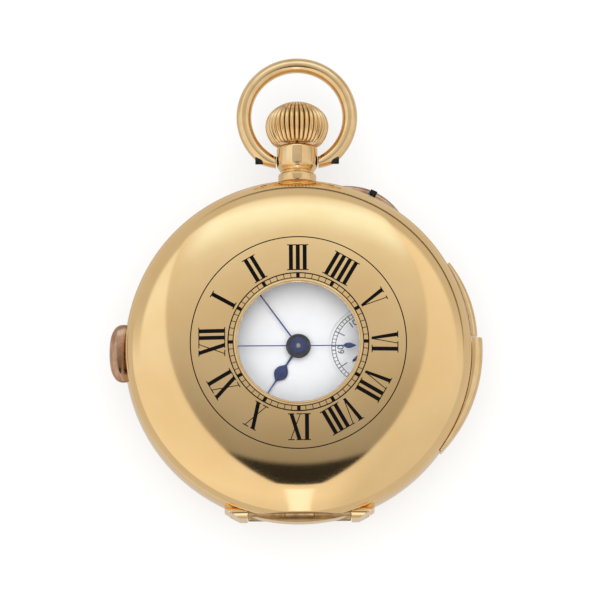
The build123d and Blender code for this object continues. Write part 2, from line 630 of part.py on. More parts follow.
# ---- movement frame -----------------------------------------------------------------
def main_plate():
    """Plate that everything is mounted on, with its jewel seats and screw holes."""
    plate = disc(PLATE_R, PLATE_LOW, PLATE_HIGH)
    plate -= disc(3.75, 11.6, PLATE_HIGH) + disc(3.6, 11.6, PLATE_HIGH, *MINUTE_WHEEL)
    plate -= disc(CENTRE_ARBOR_R + 0.05, PLATE_LOW, 11.6)
    for x, y in TRAIN_ARBORS + [BALANCE, CROWN_WHEEL]:
        plate -= disc(JEWEL_R, PLATE_LOW, PLATE_LOW + JEWEL_THICK, x, y)
    plate -= disc(0.3, PLATE_LOW, PLATE_HIGH, *FOURTH)
    plate -= disc(0.75, PLATE_LOW, 11.4, *BARREL)
    for x, y in BARREL_FEET + TRAIN_FEET + [COCK_FOOT]:
        plate -= disc(SCREW_R, PLATE_LOW, SCREW_TIP + 0.2, x, y)
    for angle in CASE_SCREWS[1]:
        plate -= disc(SCREW_R, PLATE_LOW, SCREW_TIP, *polar(CASE_SCREWS[0], angle))
    for angle in DIAL_FEET[1]:
        plate -= disc(SCREW_R, PLATE_LOW, PLATE_HIGH, *polar(DIAL_FEET[0], angle))
    return plate


def footed_bridge(outline, feet, pivots):
    """Bridge cut to the round of the movement, on feet, with seats for its jewels."""
    bridge = slab(outline, BRIDGE_LOW, BRIDGE_HIGH) & disc(BRIDGE_R, BRIDGE_LOW, BRIDGE_HIGH)
    for x, y in feet:
        bridge += disc(FOOT_R, BRIDGE_HIGH, PLATE_LOW, x, y)
        bridge -= disc(SCREW_R, BRIDGE_LOW, PLATE_LOW, x, y)
    for x, y in pivots:
        bridge -= disc(JEWEL_R, BRIDGE_HIGH - JEWEL_THICK, BRIDGE_HIGH, x, y)
    return bridge


def barrel_bridge():
    outline = [(-22, -5), (-2, -5), (1.6, -2.6), (1.6, 2.2), (11.6, 9.6), (22, 9.6), (22, 22), (-22, 22)]
    bridge = footed_bridge(outline, BARREL_FEET, [])
    bridge -= disc(CENTRE_ARBOR_R + 0.05, BRIDGE_LOW, BRIDGE_HIGH)
    bridge -= disc(1.0 + RUNNING_GAP, BRIDGE_LOW, BRIDGE_HIGH, *BARREL)
    bridge -= disc(0.8 + RUNNING_GAP, BRIDGE_LOW, BRIDGE_HIGH, *CROWN_WHEEL)
    return bridge - disc(0.3, BRIDGE_LOW, BRIDGE_HIGH, *IDLER)


def train_bridge():
    outline = [(2.2, 1.6), (2.2, -4.4), (5.4, -10.2), (13, -17.5), (22, -17.5), (22, 9.0), (12.2, 9.0)]
    return footed_bridge(outline, TRAIN_FEET, TRAIN_ARBORS)


def balance_cock():
    x, y = BALANCE
    foot_x, foot_y = COCK_FOOT
    outline = [(foot_x - FOOT_R, foot_y + 3.2), (foot_x + 2.2, foot_y + 3.2), (x + 1.2, y + 1.3),
               (x + 1.2, y - 1.3), (foot_x + 2.2, foot_y - 3.2), (foot_x - FOOT_R, foot_y - 3.2)]
    cock = slab(outline, COCK_LOW, COCK_HIGH) + disc(FOOT_R, COCK_LOW, COCK_HIGH, x, y)
    cock += block(foot_x - FOOT_R, foot_x + FOOT_R, foot_y - 2.2, foot_y + 2.2, COCK_HIGH, PLATE_LOW)
    cock -= disc(SCREW_R, COCK_LOW, PLATE_LOW, foot_x, foot_y)
    return cock - disc(JEWEL_R, COCK_HIGH - JEWEL_THICK, COCK_HIGH, x, y)


def slotted_screw(x, y, seat):
    """Cheese-head screw whose head lies behind the surface it clamps."""
    screw = disc(SCREW_HEAD_R, seat - SCREW_HEAD, seat, x, y) + disc(SCREW_R, seat, SCREW_TIP, x, y)
    slot_top = seat - SCREW_HEAD + 0.15
    screw -= block(x - 1, x + 1, y - 0.1, y + 0.1, seat - SCREW_HEAD, slot_top)
    return screw.solid()


def plate_screws():
    screws = [slotted_screw(x, y, BRIDGE_LOW) for x, y in BARREL_FEET + TRAIN_FEET]
    screws.append(slotted_screw(*COCK_FOOT, COCK_LOW))
    return Compound(children=screws)


def case_screws():
    screws = []
    for angle in CASE_SCREWS[1]:
        x, y = polar(CASE_SCREWS[0], angle)
        screw = disc(1.0, LEDGE_LOW - SCREW_HEAD, LEDGE_LOW, x, y)
        screw += disc(SCREW_R, LEDGE_LOW, SCREW_TIP - 0.2, x, y)
        screws.append(screw.solid())
    return Compound(children=screws)


def jewel(place, low):
    return disc(JEWEL_R, low, low + JEWEL_THICK, *place, bore=PIVOT_R + 0.02).solid()


def jewels():
    """Ruby bearings let into the plate, the train bridge and the balance cock."""
    stones = [jewel(place, PLATE_LOW) for place in TRAIN_ARBORS + [BALANCE]]
    stones += [jewel(place, BRIDGE_HIGH - JEWEL_THICK) for place in TRAIN_ARBORS]
    stones.append(jewel(BALANCE, COCK_HIGH - JEWEL_THICK))
    return Compound(children=stones)


def gong_block():
    """Post on the plate with an arm that reaches out to the two gongs."""
    return sector(20.6, 22.1, *GONG_BLOCK, 6.6, PLATE_LOW) + sector(22.1, 25.0, *GONG_BLOCK, 6.6, 8.5)


def gongs():
    """Two coiled steel wires that the hammers strike, one above the other."""
    wires = []
    wire_half = 0.2
    for height, end in GONG_LEVELS:
        start = GONG_BLOCK[0] - 0.1
        wires.append(sector(*GONG_RING, end, start, height - wire_half, height + wire_half).solid())
    return Compound(children=wires)


def lift_spring():
    """Blade spring in the band that throws the front cover open."""
    return sector(*SPRING_RING, 102, 160, SPRING_LOW, LEDGE_LOW)


def lock_spring():
    """Blade spring in the band that holds the front cover shut."""
    return sector(*SPRING_RING, 24, 54, SPRING_LOW, LEDGE_LOW)


# ---- dial and hands ---------------------------------------------------------------------
def dial():
    face = disc(DIAL_R, PLATE_HIGH, DIAL_TOP) - disc(SUNK_R, PLATE_HIGH, DIAL_TOP, *FOURTH)
    face -= disc(DIAL_HOLE_R, PLATE_HIGH, DIAL_TOP)
    for angle in DIAL_FEET[1]:
        face += disc(SCREW_R, PLATE_LOW + 0.2, PLATE_HIGH, *polar(DIAL_FEET[0], angle))
    return face


def seconds_subdial():
    return disc(SUNK_R, PLATE_HIGH, SUNK_TOP, *FOURTH, bore=0.35)


def pear(start, end, half_width):
    """Pear-shaped bulb of a hand between two distances, as right-side points."""
    length = end - start
    shares = [(0.12, 0.42), (0.32, 0.85), (0.52, 1.0), (0.72, 0.88), (0.88, 0.55)]
    return [(start + length * share, half_width * wide) for share, wide in shares]


def hand(half_outline, hub_r, bore, low, direction):
    """Flat hand: a hub disc and a blade mirrored about its own line."""
    upper = list(half_outline)
    lower = [(distance, -wide) for distance, wide in reversed(half_outline)]
    outline = upper + lower
    blade = slab(outline, low, low + HAND_THICK)
    blade += disc(hub_r, low, low + HAND_THICK)
    blade -= disc(bore, low, low + HAND_THICK)
    return Rot(0, 0, direction) * blade


def hour_hand():
    outline = [(0, 0.25), (3.7, 0.2)] + pear(3.7, 6.5, 1.0)
    outline += [(6.5, 0.14), (8.0, 0.12), (8.3, 0.45), (8.5, 0.45), (8.8, 0.12), (10.4, 0.16)]
    outline += pear(10.4, 13.6, 1.05) + [(13.6, 0.14), (14.8, 0.05)]
    return hand(outline, 1.7, 0.8, HOUR_HAND_Z, HOUR_DIRECTION)


def minute_hand():
    outline = [(0, 0.24), (13.0, 0.13)] + pear(13.0, 16.2, 0.85) + [(16.2, 0.12), (19.4, 0.05)]
    return hand(outline, 1.9, CENTRE_ARBOR_R, MINUTE_HAND_Z, MINUTE_DIRECTION)


def chrono_hand():
    outline = [(-9.1, 0.03), (-8.5, 0.34), (-7.9, 0.45), (-7.3, 0.34), (-7.0, 0.12), (0, 0.13), (19.0, 0.07)]
    body = hand(outline, 1.25, CHRONO_TIP_R, CHRONO_HAND_Z, CHRONO_DIRECTION)
    return body + disc(0.45, CHRONO_HAND_Z + HAND_THICK, 15.05, bore=CHRONO_TIP_R)


def seconds_hand():
    outline = [(-3.6, 0.16), (-2.4, 0.22), (-1.2, 0.08), (0, 0.1), (5.2, 0.05)]
    return Pos(*FOURTH, 0) * hand(outline, 0.5, SECONDS_BORE_R, SECONDS_HAND_Z, SECONDS_DIRECTION)


# ---- going train ---------------------------------------------------------------------------
def barrel():
    """Toothed drum with its lid, open at the middle for the arbor."""
    drum = wheel(BARREL_TEETH, BARREL_MODULE, 6.3, 6.9, *BARREL, heading(BARREL, CENTRE))
    drum += disc(6.4, 6.9, 9.3, *BARREL)
    drum -= disc(5.9, 6.8, 8.9, *BARREL)
    return drum - disc(1.2, 6.3, 9.3, *BARREL)


def barrel_arbor():
    body = disc(1.0, BRIDGE_LOW, BRIDGE_HIGH + 0.2, *BARREL) + disc(1.1, BRIDGE_HIGH + 0.2, 9.5, *BARREL)
    body += disc(0.7, 9.5, 11.3, *BARREL)
    return body + disc(RATCHET_BORE_R, WINDING_LOW, BRIDGE_LOW, *BARREL)


def mainspring():
    return spiral(*BARREL, 2.0, 5.5, 5, 0.18, 7.0, 8.7)


def ratchet_wheel():
    start = mating_start(RATCHET_TEETH, heading(BARREL, IDLER))
    body = wheel(RATCHET_TEETH, WINDING_MODULE, WINDING_LOW, WINDING_HIGH, *BARREL, start)
    return body - disc(RATCHET_BORE_R, WINDING_LOW, WINDING_HIGH, *BARREL)


def winding_idler():
    """Small wheel between the crown wheel and the ratchet wheel, with its own stud."""
    body = wheel(IDLER_TEETH, WINDING_MODULE, WINDING_LOW, WINDING_HIGH, *IDLER, heading(IDLER, BARREL))
    return body + disc(0.27, WINDING_HIGH, 5.6, *IDLER)


def crown_wheel():
    """Spur wheel outside the bridge joined to a contrate ring that the winding pinion drives."""
    towards = heading(CROWN_WHEEL, IDLER)
    start = second_mating_start(CROWN_WHEEL_TEETH, towards, IDLER_TEETH, heading(IDLER, BARREL))
    body = wheel(CROWN_WHEEL_TEETH, WINDING_MODULE, WINDING_LOW, WINDING_HIGH, *CROWN_WHEEL, start)
    body += disc(0.8, WINDING_HIGH, 6.4, *CROWN_WHEEL) + disc(3.4, 6.4, 6.9, *CROWN_WHEEL)
    tooth = block(CONTRATE_R - 0.35, CONTRATE_R + 0.35, -0.12, 0.12, 6.9, 8.0)
    for index in range(CONTRATE_TEETH):
        body += Pos(*CROWN_WHEEL, 0) * Rot(0, 0, index * 360 / CONTRATE_TEETH) * tooth
    return body


def winding_pinion():
    length = 1.4
    low, high = WINDING_PINION_Y - length / 2, WINDING_PINION_Y + length / 2
    body = rod_along_y(WINDING_PINION_R - 0.3, low, high)
    leaf = Pos(0, 0, WINDING_PINION_R - 0.2) * Box(0.2, length, 0.4)
    for index in range(WINDING_LEAVES):
        body += Pos(0, WINDING_PINION_Y, MID_Z) * Rot(0, index * 360 / WINDING_LEAVES, 0) * leaf
    return body - rod_along_y(STEM_TIP_R + RUNNING_GAP, low, high)


def click():
    """Spring-loaded pawl that stops the ratchet wheel running back."""
    pivot = polar(7.3, 140, *BARREL)
    tip = polar(RATCHET_TEETH * WINDING_MODULE / 2 + 0.24, 118, *BARREL)
    along = heading(pivot, tip)
    reach = hypot(tip[0] - pivot[0], tip[1] - pivot[1])
    high = WINDING_HIGH - 0.1
    outline = [(0, -0.5), (reach - 0.4, -0.3), (reach, 0.0), (reach - 0.6, 0.4), (0, 0.5)]
    arm = slab(outline, WINDING_LOW, high)
    return Pos(*pivot, 0) * Rot(0, 0, along) * arm + disc(0.8, WINDING_LOW, high, *pivot)


def centre_wheel():
    """Centre wheel and pinion on a hollow arbor; the chronograph arbor runs through it."""
    body = wheel(CENTRE_TEETH, CENTRE_MODULE, 9.7, 10.0, 0, 0, heading(CENTRE, THIRD))
    body -= windows(5.0, 1.6, 5, 9.7, 10.0, 0, 0)
    towards = heading(CENTRE, BARREL)
    body += wheel(CENTRE_LEAVES, BARREL_MODULE, 6.2, 9.7, 0, 0, mating_start(CENTRE_LEAVES, towards))
    body += disc(CENTRE_ARBOR_R, 4.6, 12.0)
    return body - disc(CHRONO_BORE_R, 4, 13)


def cannon_pinion():
    body = wheel(CANNON_TEETH, MOTION_MODULE, 11.7, 12.1, 0, 0, heading(CENTRE, MINUTE_WHEEL))
    body += disc(0.75, 12.1, MINUTE_HAND_Z) + disc(CENTRE_ARBOR_R, MINUTE_HAND_Z, MINUTE_HAND_Z + 0.15)
    body -= disc(CENTRE_ARBOR_R, 11, 12.0)
    return body - disc(CHRONO_BORE_R, 11, 15)


def minute_wheel():
    towards = heading(MINUTE_WHEEL, CENTRE)
    body = wheel(MINUTE_TEETH, MOTION_MODULE, 11.75, 12.0, *MINUTE_WHEEL, mating_start(MINUTE_TEETH, towards))
    start = mating_start(MINUTE_LEAVES, towards)
    return body + wheel(MINUTE_LEAVES, HOUR_MODULE, 12.0, 12.5, *MINUTE_WHEEL, start)


def hour_wheel():
    body = wheel(HOUR_TEETH, HOUR_MODULE, 12.2, 12.45, 0, 0, heading(CENTRE, MINUTE_WHEEL))
    body += disc(1.05, 12.2, HOUR_HAND_Z)
    return body - disc(0.79, 12, HOUR_HAND_Z)


def third_wheel():
    x, y = THIRD
    body = wheel(THIRD_TEETH, THIRD_MODULE, 7.0, 7.3, x, y, heading(THIRD, FOURTH))
    body -= windows(4.2, 1.2, 5, 7.0, 7.3, x, y)
    towards = heading(THIRD, CENTRE)
    body += wheel(THIRD_LEAVES, CENTRE_MODULE, 9.5, 10.2, x, y, mating_start(THIRD_LEAVES, towards))
    return body + arbor(x, y, ARBOR_LOW, ARBOR_HIGH)


def fourth_wheel():
    x, y = FOURTH
    body = wheel(FOURTH_TEETH, FOURTH_MODULE, 8.6, 8.9, x, y, heading(FOURTH, ESCAPE))
    body -= windows(3.7, 1.1, 5, 8.6, 8.9, x, y)
    towards = heading(FOURTH, THIRD)
    body += wheel(FOURTH_LEAVES, THIRD_MODULE, 6.8, 7.5, x, y, mating_start(FOURTH_LEAVES, towards))
    body += arbor(x, y, ARBOR_LOW, ARBOR_HIGH)
    return body + disc(PIVOT_R, ARBOR_HIGH, 12.9, x, y) + disc(SECONDS_BORE_R, 12.9, 13.45, x, y)


def escape_wheel():
    x, y = ESCAPE
    corners = []
    # radius and angle of one club tooth's corners
    tooth = ((2.0, -6), (ESCAPE_R, 0), (ESCAPE_R, 3), (2.0, 2))
    for index in range(ESCAPE_TEETH):
        for radius, angle in tooth:
            corners.append(polar(radius, index * 360 / ESCAPE_TEETH + angle, x, y))
    body = slab(corners, ESCAPE_LOW, ESCAPE_HIGH)
    body -= windows(1.7, 0.6, 4, ESCAPE_LOW, ESCAPE_HIGH, x, y)
    towards = heading(ESCAPE, FOURTH)
    body += wheel(ESCAPE_LEAVES, FOURTH_MODULE, 8.4, 9.1, x, y, mating_start(ESCAPE_LEAVES, towards))
    body += disc(0.3, ARBOR_LOW + 0.4, ARBOR_HIGH - 0.4, x, y)
    return body + disc(PIVOT_R, ARBOR_LOW, ARBOR_HIGH, x, y)


def pallet_lever():
    """Anchor with two pallets and a long fork towards the balance."""
    x, y = PALLET
    turn = Pos(x, y, 0) * Rot(0, 0, PALLET_LINE)
    upper = [(-0.1, 0.5), (-1.1, 2.8), (-2.1, 3.1), (-2.3, 2.75), (-1.5, 2.2), (-0.75, 1.1)]
    lower = [(along, -across) for along, across in reversed(upper)]
    low = ESCAPE_LOW - 0.1
    arms = slab(upper + [(-0.5, 0)] + lower, low, ESCAPE_HIGH)
    reach = 7.8
    fork = slab([(-0.3, -0.4), (reach, -0.15), (reach, 0.15), (-0.3, 0.4)], low, ESCAPE_HIGH)
    return turn * (arms + fork) + arbor(x, y, ARBOR_LOW, ARBOR_HIGH)


def balance_wheel():
    """Two-armed rim with timing screws round it, and the roller on its staff."""
    x, y = BALANCE
    rim = disc(BALANCE_R, BALANCE_LOW, BALANCE_HIGH, x, y)
    rim -= windows(BALANCE_R - 0.6, 0.9, 2, BALANCE_LOW, BALANCE_HIGH, x, y)
    screw = rod_along_x(0.3, BALANCE_R - 0.2, BALANCE_R + 0.35, 0, (BALANCE_LOW + BALANCE_HIGH) / 2)
    for index in range(BALANCE_SCREWS):
        rim += Pos(x, y, 0) * Rot(0, 0, (index + 0.5) * 360 / BALANCE_SCREWS) * screw
    rim += arbor(x, y, 4.95, ARBOR_HIGH)
    return rim + disc(0.9, 9.2, 9.4, x, y)


def hairspring():
    return spiral(*BALANCE, 1.0, 3.4, 8, 0.06, 6.3, 6.6)


def chrono_runner():
    """Arbor of the centre seconds with its wheel and heart cam behind the bridge."""
    body = disc(0.22, 3.6, 14.55) + disc(CHRONO_TIP_R, 14.55, 15.0)
    body += disc(2.9, 3.95, 4.2)
    return body + slab([(-0.9, 0), (-0.5, 0.7), (0.4, 0.6), (1.2, 0), (0.4, -0.6), (-0.5, -0.7)], 3.6, 3.95)


# ---- striking and chronograph work ---------------------------------------------------------
def hammer(pivot, head, z_low, z_high):
    """Arm with a square head that swings on a stud in the plate."""
    along = heading(pivot, head)
    reach = hypot(head[0] - pivot[0], head[1] - pivot[1])
    arm = slab([(-0.8, -0.6), (reach - 1.2, -0.5), (reach - 1.0, -1.1), (reach, -0.5), (reach, 0.9),
                (reach - 1.2, 1.1), (-0.8, 0.6)], z_low, z_high)
    body = Pos(*pivot, 0) * Rot(0, 0, along) * arm + disc(1.0, z_low, z_high, *pivot)
    return body + disc(STUD_R, z_high, STUD_END, *pivot)


def hour_hammer():
    return hammer(polar(19.0, 205), polar(22.9, 190), 6.8, 7.5)


def minute_hammer():
    return hammer(polar(20.0, 230), polar(22.9, 214), 7.7, 8.3)


def column_wheel():
    """Disc with six upright columns that switch the chronograph."""
    x, y = COLUMN_WHEEL
    body = disc(1.5, 7.0, 7.4, x, y) + disc(STUD_R, 6.05, STUD_END, x, y)
    for index in range(6):
        body += disc(0.3, 7.4, 8.6, *polar(1.1, index * 60, x, y))
    return body


def operating_lever():
    """Lever that the chronograph button pushes on."""
    pivot = (-20.4, 7.4)
    low, high = 8.8, 9.6
    arm = slab([(-21.0, 7.4), (-23.9, 1.0), (-24.3, -0.9), (-23.1, -1.0), (-19.8, 7.4)], low, high)
    return arm + disc(0.9, low, high, *pivot) + disc(STUD_R, high, STUD_END, *pivot)


PIECES = [mid_band, hinge_pins, front_cover, aperture_bezel, cover_glass, back_cover, cuvette, glass_bezel,
          dial_crystal, pendant, bow, bow_screws, crown, winding_stem, stem_collar, slide_track,
          repeater_slide, chrono_pusher, set_pin_guard, set_pin, main_plate, barrel_bridge, train_bridge,
          balance_cock, plate_screws, case_screws, jewels, gong_block, gongs, lift_spring, lock_spring,
          dial, seconds_subdial, hour_hand, minute_hand, chrono_hand, seconds_hand, barrel, barrel_arbor,
          mainspring, ratchet_wheel, winding_idler, crown_wheel, winding_pinion, click, centre_wheel,
          cannon_pinion, minute_wheel, hour_wheel, third_wheel, fourth_wheel, escape_wheel, pallet_lever,
          balance_wheel, hairspring, chrono_runner, hour_hammer, minute_hammer, column_wheel, operating_lever]

os.makedirs("parts", exist_ok=True)
for make_piece in PIECES:
    export_step(make_piece(), "parts/" + make_piece.__name__ + ".step")
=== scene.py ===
"""A half-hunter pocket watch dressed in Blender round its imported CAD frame."""
import json
from math import atan2, cos, pi, radians, sin, sqrt

import bmesh
import bpy
from mathutils import Matrix, Vector


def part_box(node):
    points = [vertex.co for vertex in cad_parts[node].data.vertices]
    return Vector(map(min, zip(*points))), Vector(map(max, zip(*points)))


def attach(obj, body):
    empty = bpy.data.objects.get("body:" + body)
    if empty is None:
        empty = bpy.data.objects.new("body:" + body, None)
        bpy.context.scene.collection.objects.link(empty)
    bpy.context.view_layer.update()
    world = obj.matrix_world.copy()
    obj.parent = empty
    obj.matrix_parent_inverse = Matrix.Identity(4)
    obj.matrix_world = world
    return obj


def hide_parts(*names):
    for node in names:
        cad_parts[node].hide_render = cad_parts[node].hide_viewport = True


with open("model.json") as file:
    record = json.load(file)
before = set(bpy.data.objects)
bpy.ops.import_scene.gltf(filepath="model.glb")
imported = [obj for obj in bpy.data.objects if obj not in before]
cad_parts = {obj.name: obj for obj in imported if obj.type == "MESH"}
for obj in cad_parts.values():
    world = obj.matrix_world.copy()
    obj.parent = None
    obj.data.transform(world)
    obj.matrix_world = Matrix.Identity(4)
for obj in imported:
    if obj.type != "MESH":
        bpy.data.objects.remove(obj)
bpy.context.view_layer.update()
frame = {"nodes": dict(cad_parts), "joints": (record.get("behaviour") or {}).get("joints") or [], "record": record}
NODES = frame["nodes"]
JOINTS = {joint["name"]: joint for joint in frame["joints"]}
MM = 0.001

# ---- sizes read from the frame, in metres ----------------------------------------
_, front_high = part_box("front_cover")
bezel_low, bezel_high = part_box("aperture_bezel")
glass_low, glass_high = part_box("cover_glass")
_, dial_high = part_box("dial")
sunk_low, sunk_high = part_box("seconds_subdial")
_, bow_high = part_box("bow")
pendant_low, pendant_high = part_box("pendant")
FRONT_HINGE = Vector(JOINTS["front_cover_hinge"]["pos_m"])
BACK_HINGE = Vector(JOINTS["back_cover_hinge"]["pos_m"])
BOW_PIVOT = Vector(JOINTS["bow_swing"]["pos_m"])

COVER_R = front_high.x
APERTURE_R = bezel_high.x
SUNK_X = (sunk_high.x + sunk_low.x) / 2
STEM_Z = (pendant_low.z + pendant_high.z) / 2     # height of the stem, and of everything on the band

# ---- sizes chosen here ------------------------------------------------------------
HINGE_INSET = 0.85 * MM          # the hinge lines lie this far inside the band's two edges
BAND_TOP = FRONT_HINGE.z + HINGE_INSET
BAND_BOTTOM = BACK_HINGE.z - HINGE_INSET
FLAT_Y = FRONT_HINGE.y - 0.45 * MM                # flat cut off the round covers along the hinge
KNUCKLE_R = 0.75 * MM
WALL = 0.8 * MM
FRONT_RISE = 6.0 * MM
BACK_RISE = 6.15 * MM
BACK_SKIRT = 0.4 * MM
DOME_POWER = 3.2                 # superellipse power of the covers' profile
BAND_SEAT = 27.58                # radius at which the slide and its guide sit on the band, in millimetres
SLIDE_HALF = 1.7                 # half height of the slide, in millimetres
SEAT_HOLLOW = 0.13               # how far the ends of its section follow the round of the band
INLAY_DEPTH = 0.02 * MM          # how deep printing and enamel reach below their surface


# ---- shader helpers ----------------------------------------------------------------
def new_material(name):
    """A material with its node tree and its Principled shader."""
    material = bpy.data.materials.new(name)
    material.use_nodes = True
    tree = material.node_tree
    shader = tree.nodes["Principled BSDF"]
    return material, tree, shader


def set_inputs(node, **values):
    """Sets plain values on a node's inputs; an underscore stands for a space in the input's name."""
    for name, value in values.items():
        node.inputs[name.replace("_", " ")].default_value = value


def noise(tree, scale, detail=3.0, stretch=(1, 1, 1)):
    """Noise over the object's own coordinates."""
    coordinates = tree.nodes.new("ShaderNodeTexCoord")
    mapping = tree.nodes.new("ShaderNodeMapping")
    set_inputs(mapping, Scale=stretch)
    texture = tree.nodes.new("ShaderNodeTexNoise")
    set_inputs(texture, Scale=scale, Detail=detail)
    tree.links.new(coordinates.outputs["Object"], mapping.inputs["Vector"])
    tree.links.new(mapping.outputs["Vector"], texture.inputs["Vector"])
    return texture.outputs["Fac"]


def ramp(tree, factor, stops):
    """Colour ramp with (position, colour) stops."""
    node = tree.nodes.new("ShaderNodeValToRGB")
    elements = node.color_ramp.elements
    elements[0].position, elements[0].color = stops[0][0], (*stops[0][1], 1)
    elements[1].position, elements[1].color = stops[-1][0], (*stops[-1][1], 1)
    for position, colour in stops[1:-1]:
        element = elements.new(position)
        element.color = (*colour, 1)
    tree.links.new(factor, node.inputs["Fac"])
    return node.outputs["Color"]


def spread(tree, factor, low, high):
    """Maps a 0 to 1 factor onto a range."""
    node = tree.nodes.new("ShaderNodeMapRange")
    set_inputs(node, To_Min=low, To_Max=high)
    tree.links.new(factor, node.inputs["Value"])
    return node.outputs["Result"]


def smooth_step(tree, value, start, end):
    """0 up to start, 1 beyond end, smooth between; start may be the larger of the two."""
    node = tree.nodes.new("ShaderNodeMapRange")
    node.interpolation_type = "SMOOTHSTEP"
    set_inputs(node, From_Min=start, From_Max=end)
    tree.links.new(value, node.inputs["Value"])
    return node.outputs["Result"]


def calculate(tree, operation, first, second=None):
    """Math node on one or two values; the second may be a plain number."""
    node = tree.nodes.new("ShaderNodeMath")
    node.operation = operation
    tree.links.new(first, node.inputs[0])
    if isinstance(second, float):
        node.inputs[1].default_value = second
    elif second is not None:
        tree.links.new(second, node.inputs[1])
    return node.outputs["Value"]


def product(tree, *values):
    """All the values multiplied together."""
    result = values[0]
    for value in values[1:]:
        result = calculate(tree, "MULTIPLY", result, value)
    return result


def sockets_of(sockets, kind):
    """The sockets of one kind on a node that has a set of them for every kind of data."""
    return [socket for socket in sockets if socket.type == kind]


def mix_colours(tree, mask, outside, inside):
    """Two colours, each a node's output or a plain colour, blended by a mask."""
    node = tree.nodes.new("ShaderNodeMix")
    node.data_type = "RGBA"
    tree.links.new(mask, sockets_of(node.inputs, "VALUE")[0])
    for socket, colour in zip(sockets_of(node.inputs, "RGBA"), (outside, inside)):
        if isinstance(colour, tuple):
            socket.default_value = (*colour, 1.0)
        else:
            tree.links.new(colour, socket)
    return sockets_of(node.outputs, "RGBA")[0]


def bump(tree, shader, height, strength, distance):
    """Gives a shader fine relief from a height."""
    node = tree.nodes.new("ShaderNodeBump")
    set_inputs(node, Strength=strength, Distance=distance)
    tree.links.new(height, node.inputs["Height"])
    tree.links.new(node.outputs["Normal"], shader.inputs["Normal"])


# ---- materials -----------------------------------------------------------------
GOLD_SHADES = ((0.95, 0.66, 0.325), (0.92, 0.62, 0.285))
# Dark brown gold painted as shade into hollows: the band's hinge recesses, the covers' knuckles and the crown's
# grooves.
PAINTED_SHADE_TONES = ((0.52, 0.35, 0.16), (0.34, 0.21, 0.09))
PAINTED_SHADE_SCALE = 900.0
BAND_POLISH = {"roughness": 0.03, "wear": 0.10, "dent": 0.035}


def clouds(tree, scale, shades):
    """A light and a dark shade in soft clouds."""
    light, dark = shades
    return ramp(tree, noise(tree, scale, 4.0), [(0.35, dark), (0.65, light)])


def metal(name, shades, roughness, wear=0.04, scale=140.0, dent=0.02):
    """Polished metal: two near shades, uneven polish and a trace of surface wave."""
    brushing = 9            # polishing marks are this many times finer than the clouds, and as drawn out
    wave_scale = 0.8 * scale
    wave_height = 0.2 * MM
    material, tree, shader = new_material(name)
    set_inputs(shader, Metallic=1.0)
    tree.links.new(clouds(tree, scale, shades), shader.inputs["Base Color"])
    marks = noise(tree, scale * brushing, 6.0, (1, brushing, 1))
    tree.links.new(spread(tree, marks, roughness, roughness + wear), shader.inputs["Roughness"])
    bump(tree, shader, noise(tree, wave_scale, 2.0), dent, wave_height)
    return material


def enamel(name, light, dark, roughness=0.18, coat=0.4, shine=0.5):
    """Fired or painted colour: two near shades under a clear skin."""
    unevenness = 0.06
    orange_peel = 0.1 * MM
    material, tree, shader = new_material(name)
    cloud = noise(tree, 60.0, 3.0)
    tree.links.new(ramp(tree, cloud, [(0.3, dark), (0.7, light)]), shader.inputs["Base Color"])
    polish = spread(tree, noise(tree, 900.0), roughness, roughness + unevenness)
    tree.links.new(polish, shader.inputs["Roughness"])
    set_inputs(shader, Specular_IOR_Level=shine, Coat_Weight=coat, Coat_Roughness=0.05)
    bump(tree, shader, noise(tree, 300.0), 0.02, orange_peel)
    return material


def clear_glass(name):
    """Watch glass: clear, with faint dust and a reflection that grows towards grazing views."""
    head_on, edge_on, growth = 0.03, 0.85, 5.0
    material, tree, shader = new_material(name)
    clear = tree.nodes.new("ShaderNodeBsdfTransparent")
    dust = ramp(tree, noise(tree, 500.0, 5.0), [(0.4, (0.988, 0.988, 0.988)), (0.8, (0.975, 0.975, 0.977))])
    tree.links.new(dust, clear.inputs["Color"])
    gloss = tree.nodes.new("ShaderNodeBsdfGlossy")
    set_inputs(gloss, Roughness=0.02)
    facing = tree.nodes.new("ShaderNodeLayerWeight")
    set_inputs(facing, Blend=0.5)
    grazing = calculate(tree, "POWER", facing.outputs["Facing"], growth)
    mix = tree.nodes.new("ShaderNodeMixShader")
    tree.links.new(spread(tree, grazing, head_on, edge_on), mix.inputs["Fac"])
    tree.links.new(clear.outputs["BSDF"], mix.inputs[1])
    tree.links.new(gloss.outputs["BSDF"], mix.inputs[2])
    output = tree.nodes["Material Output"]
    tree.links.new(mix.outputs["Shader"], output.inputs["Surface"])
    tree.nodes.remove(shader)
    return material


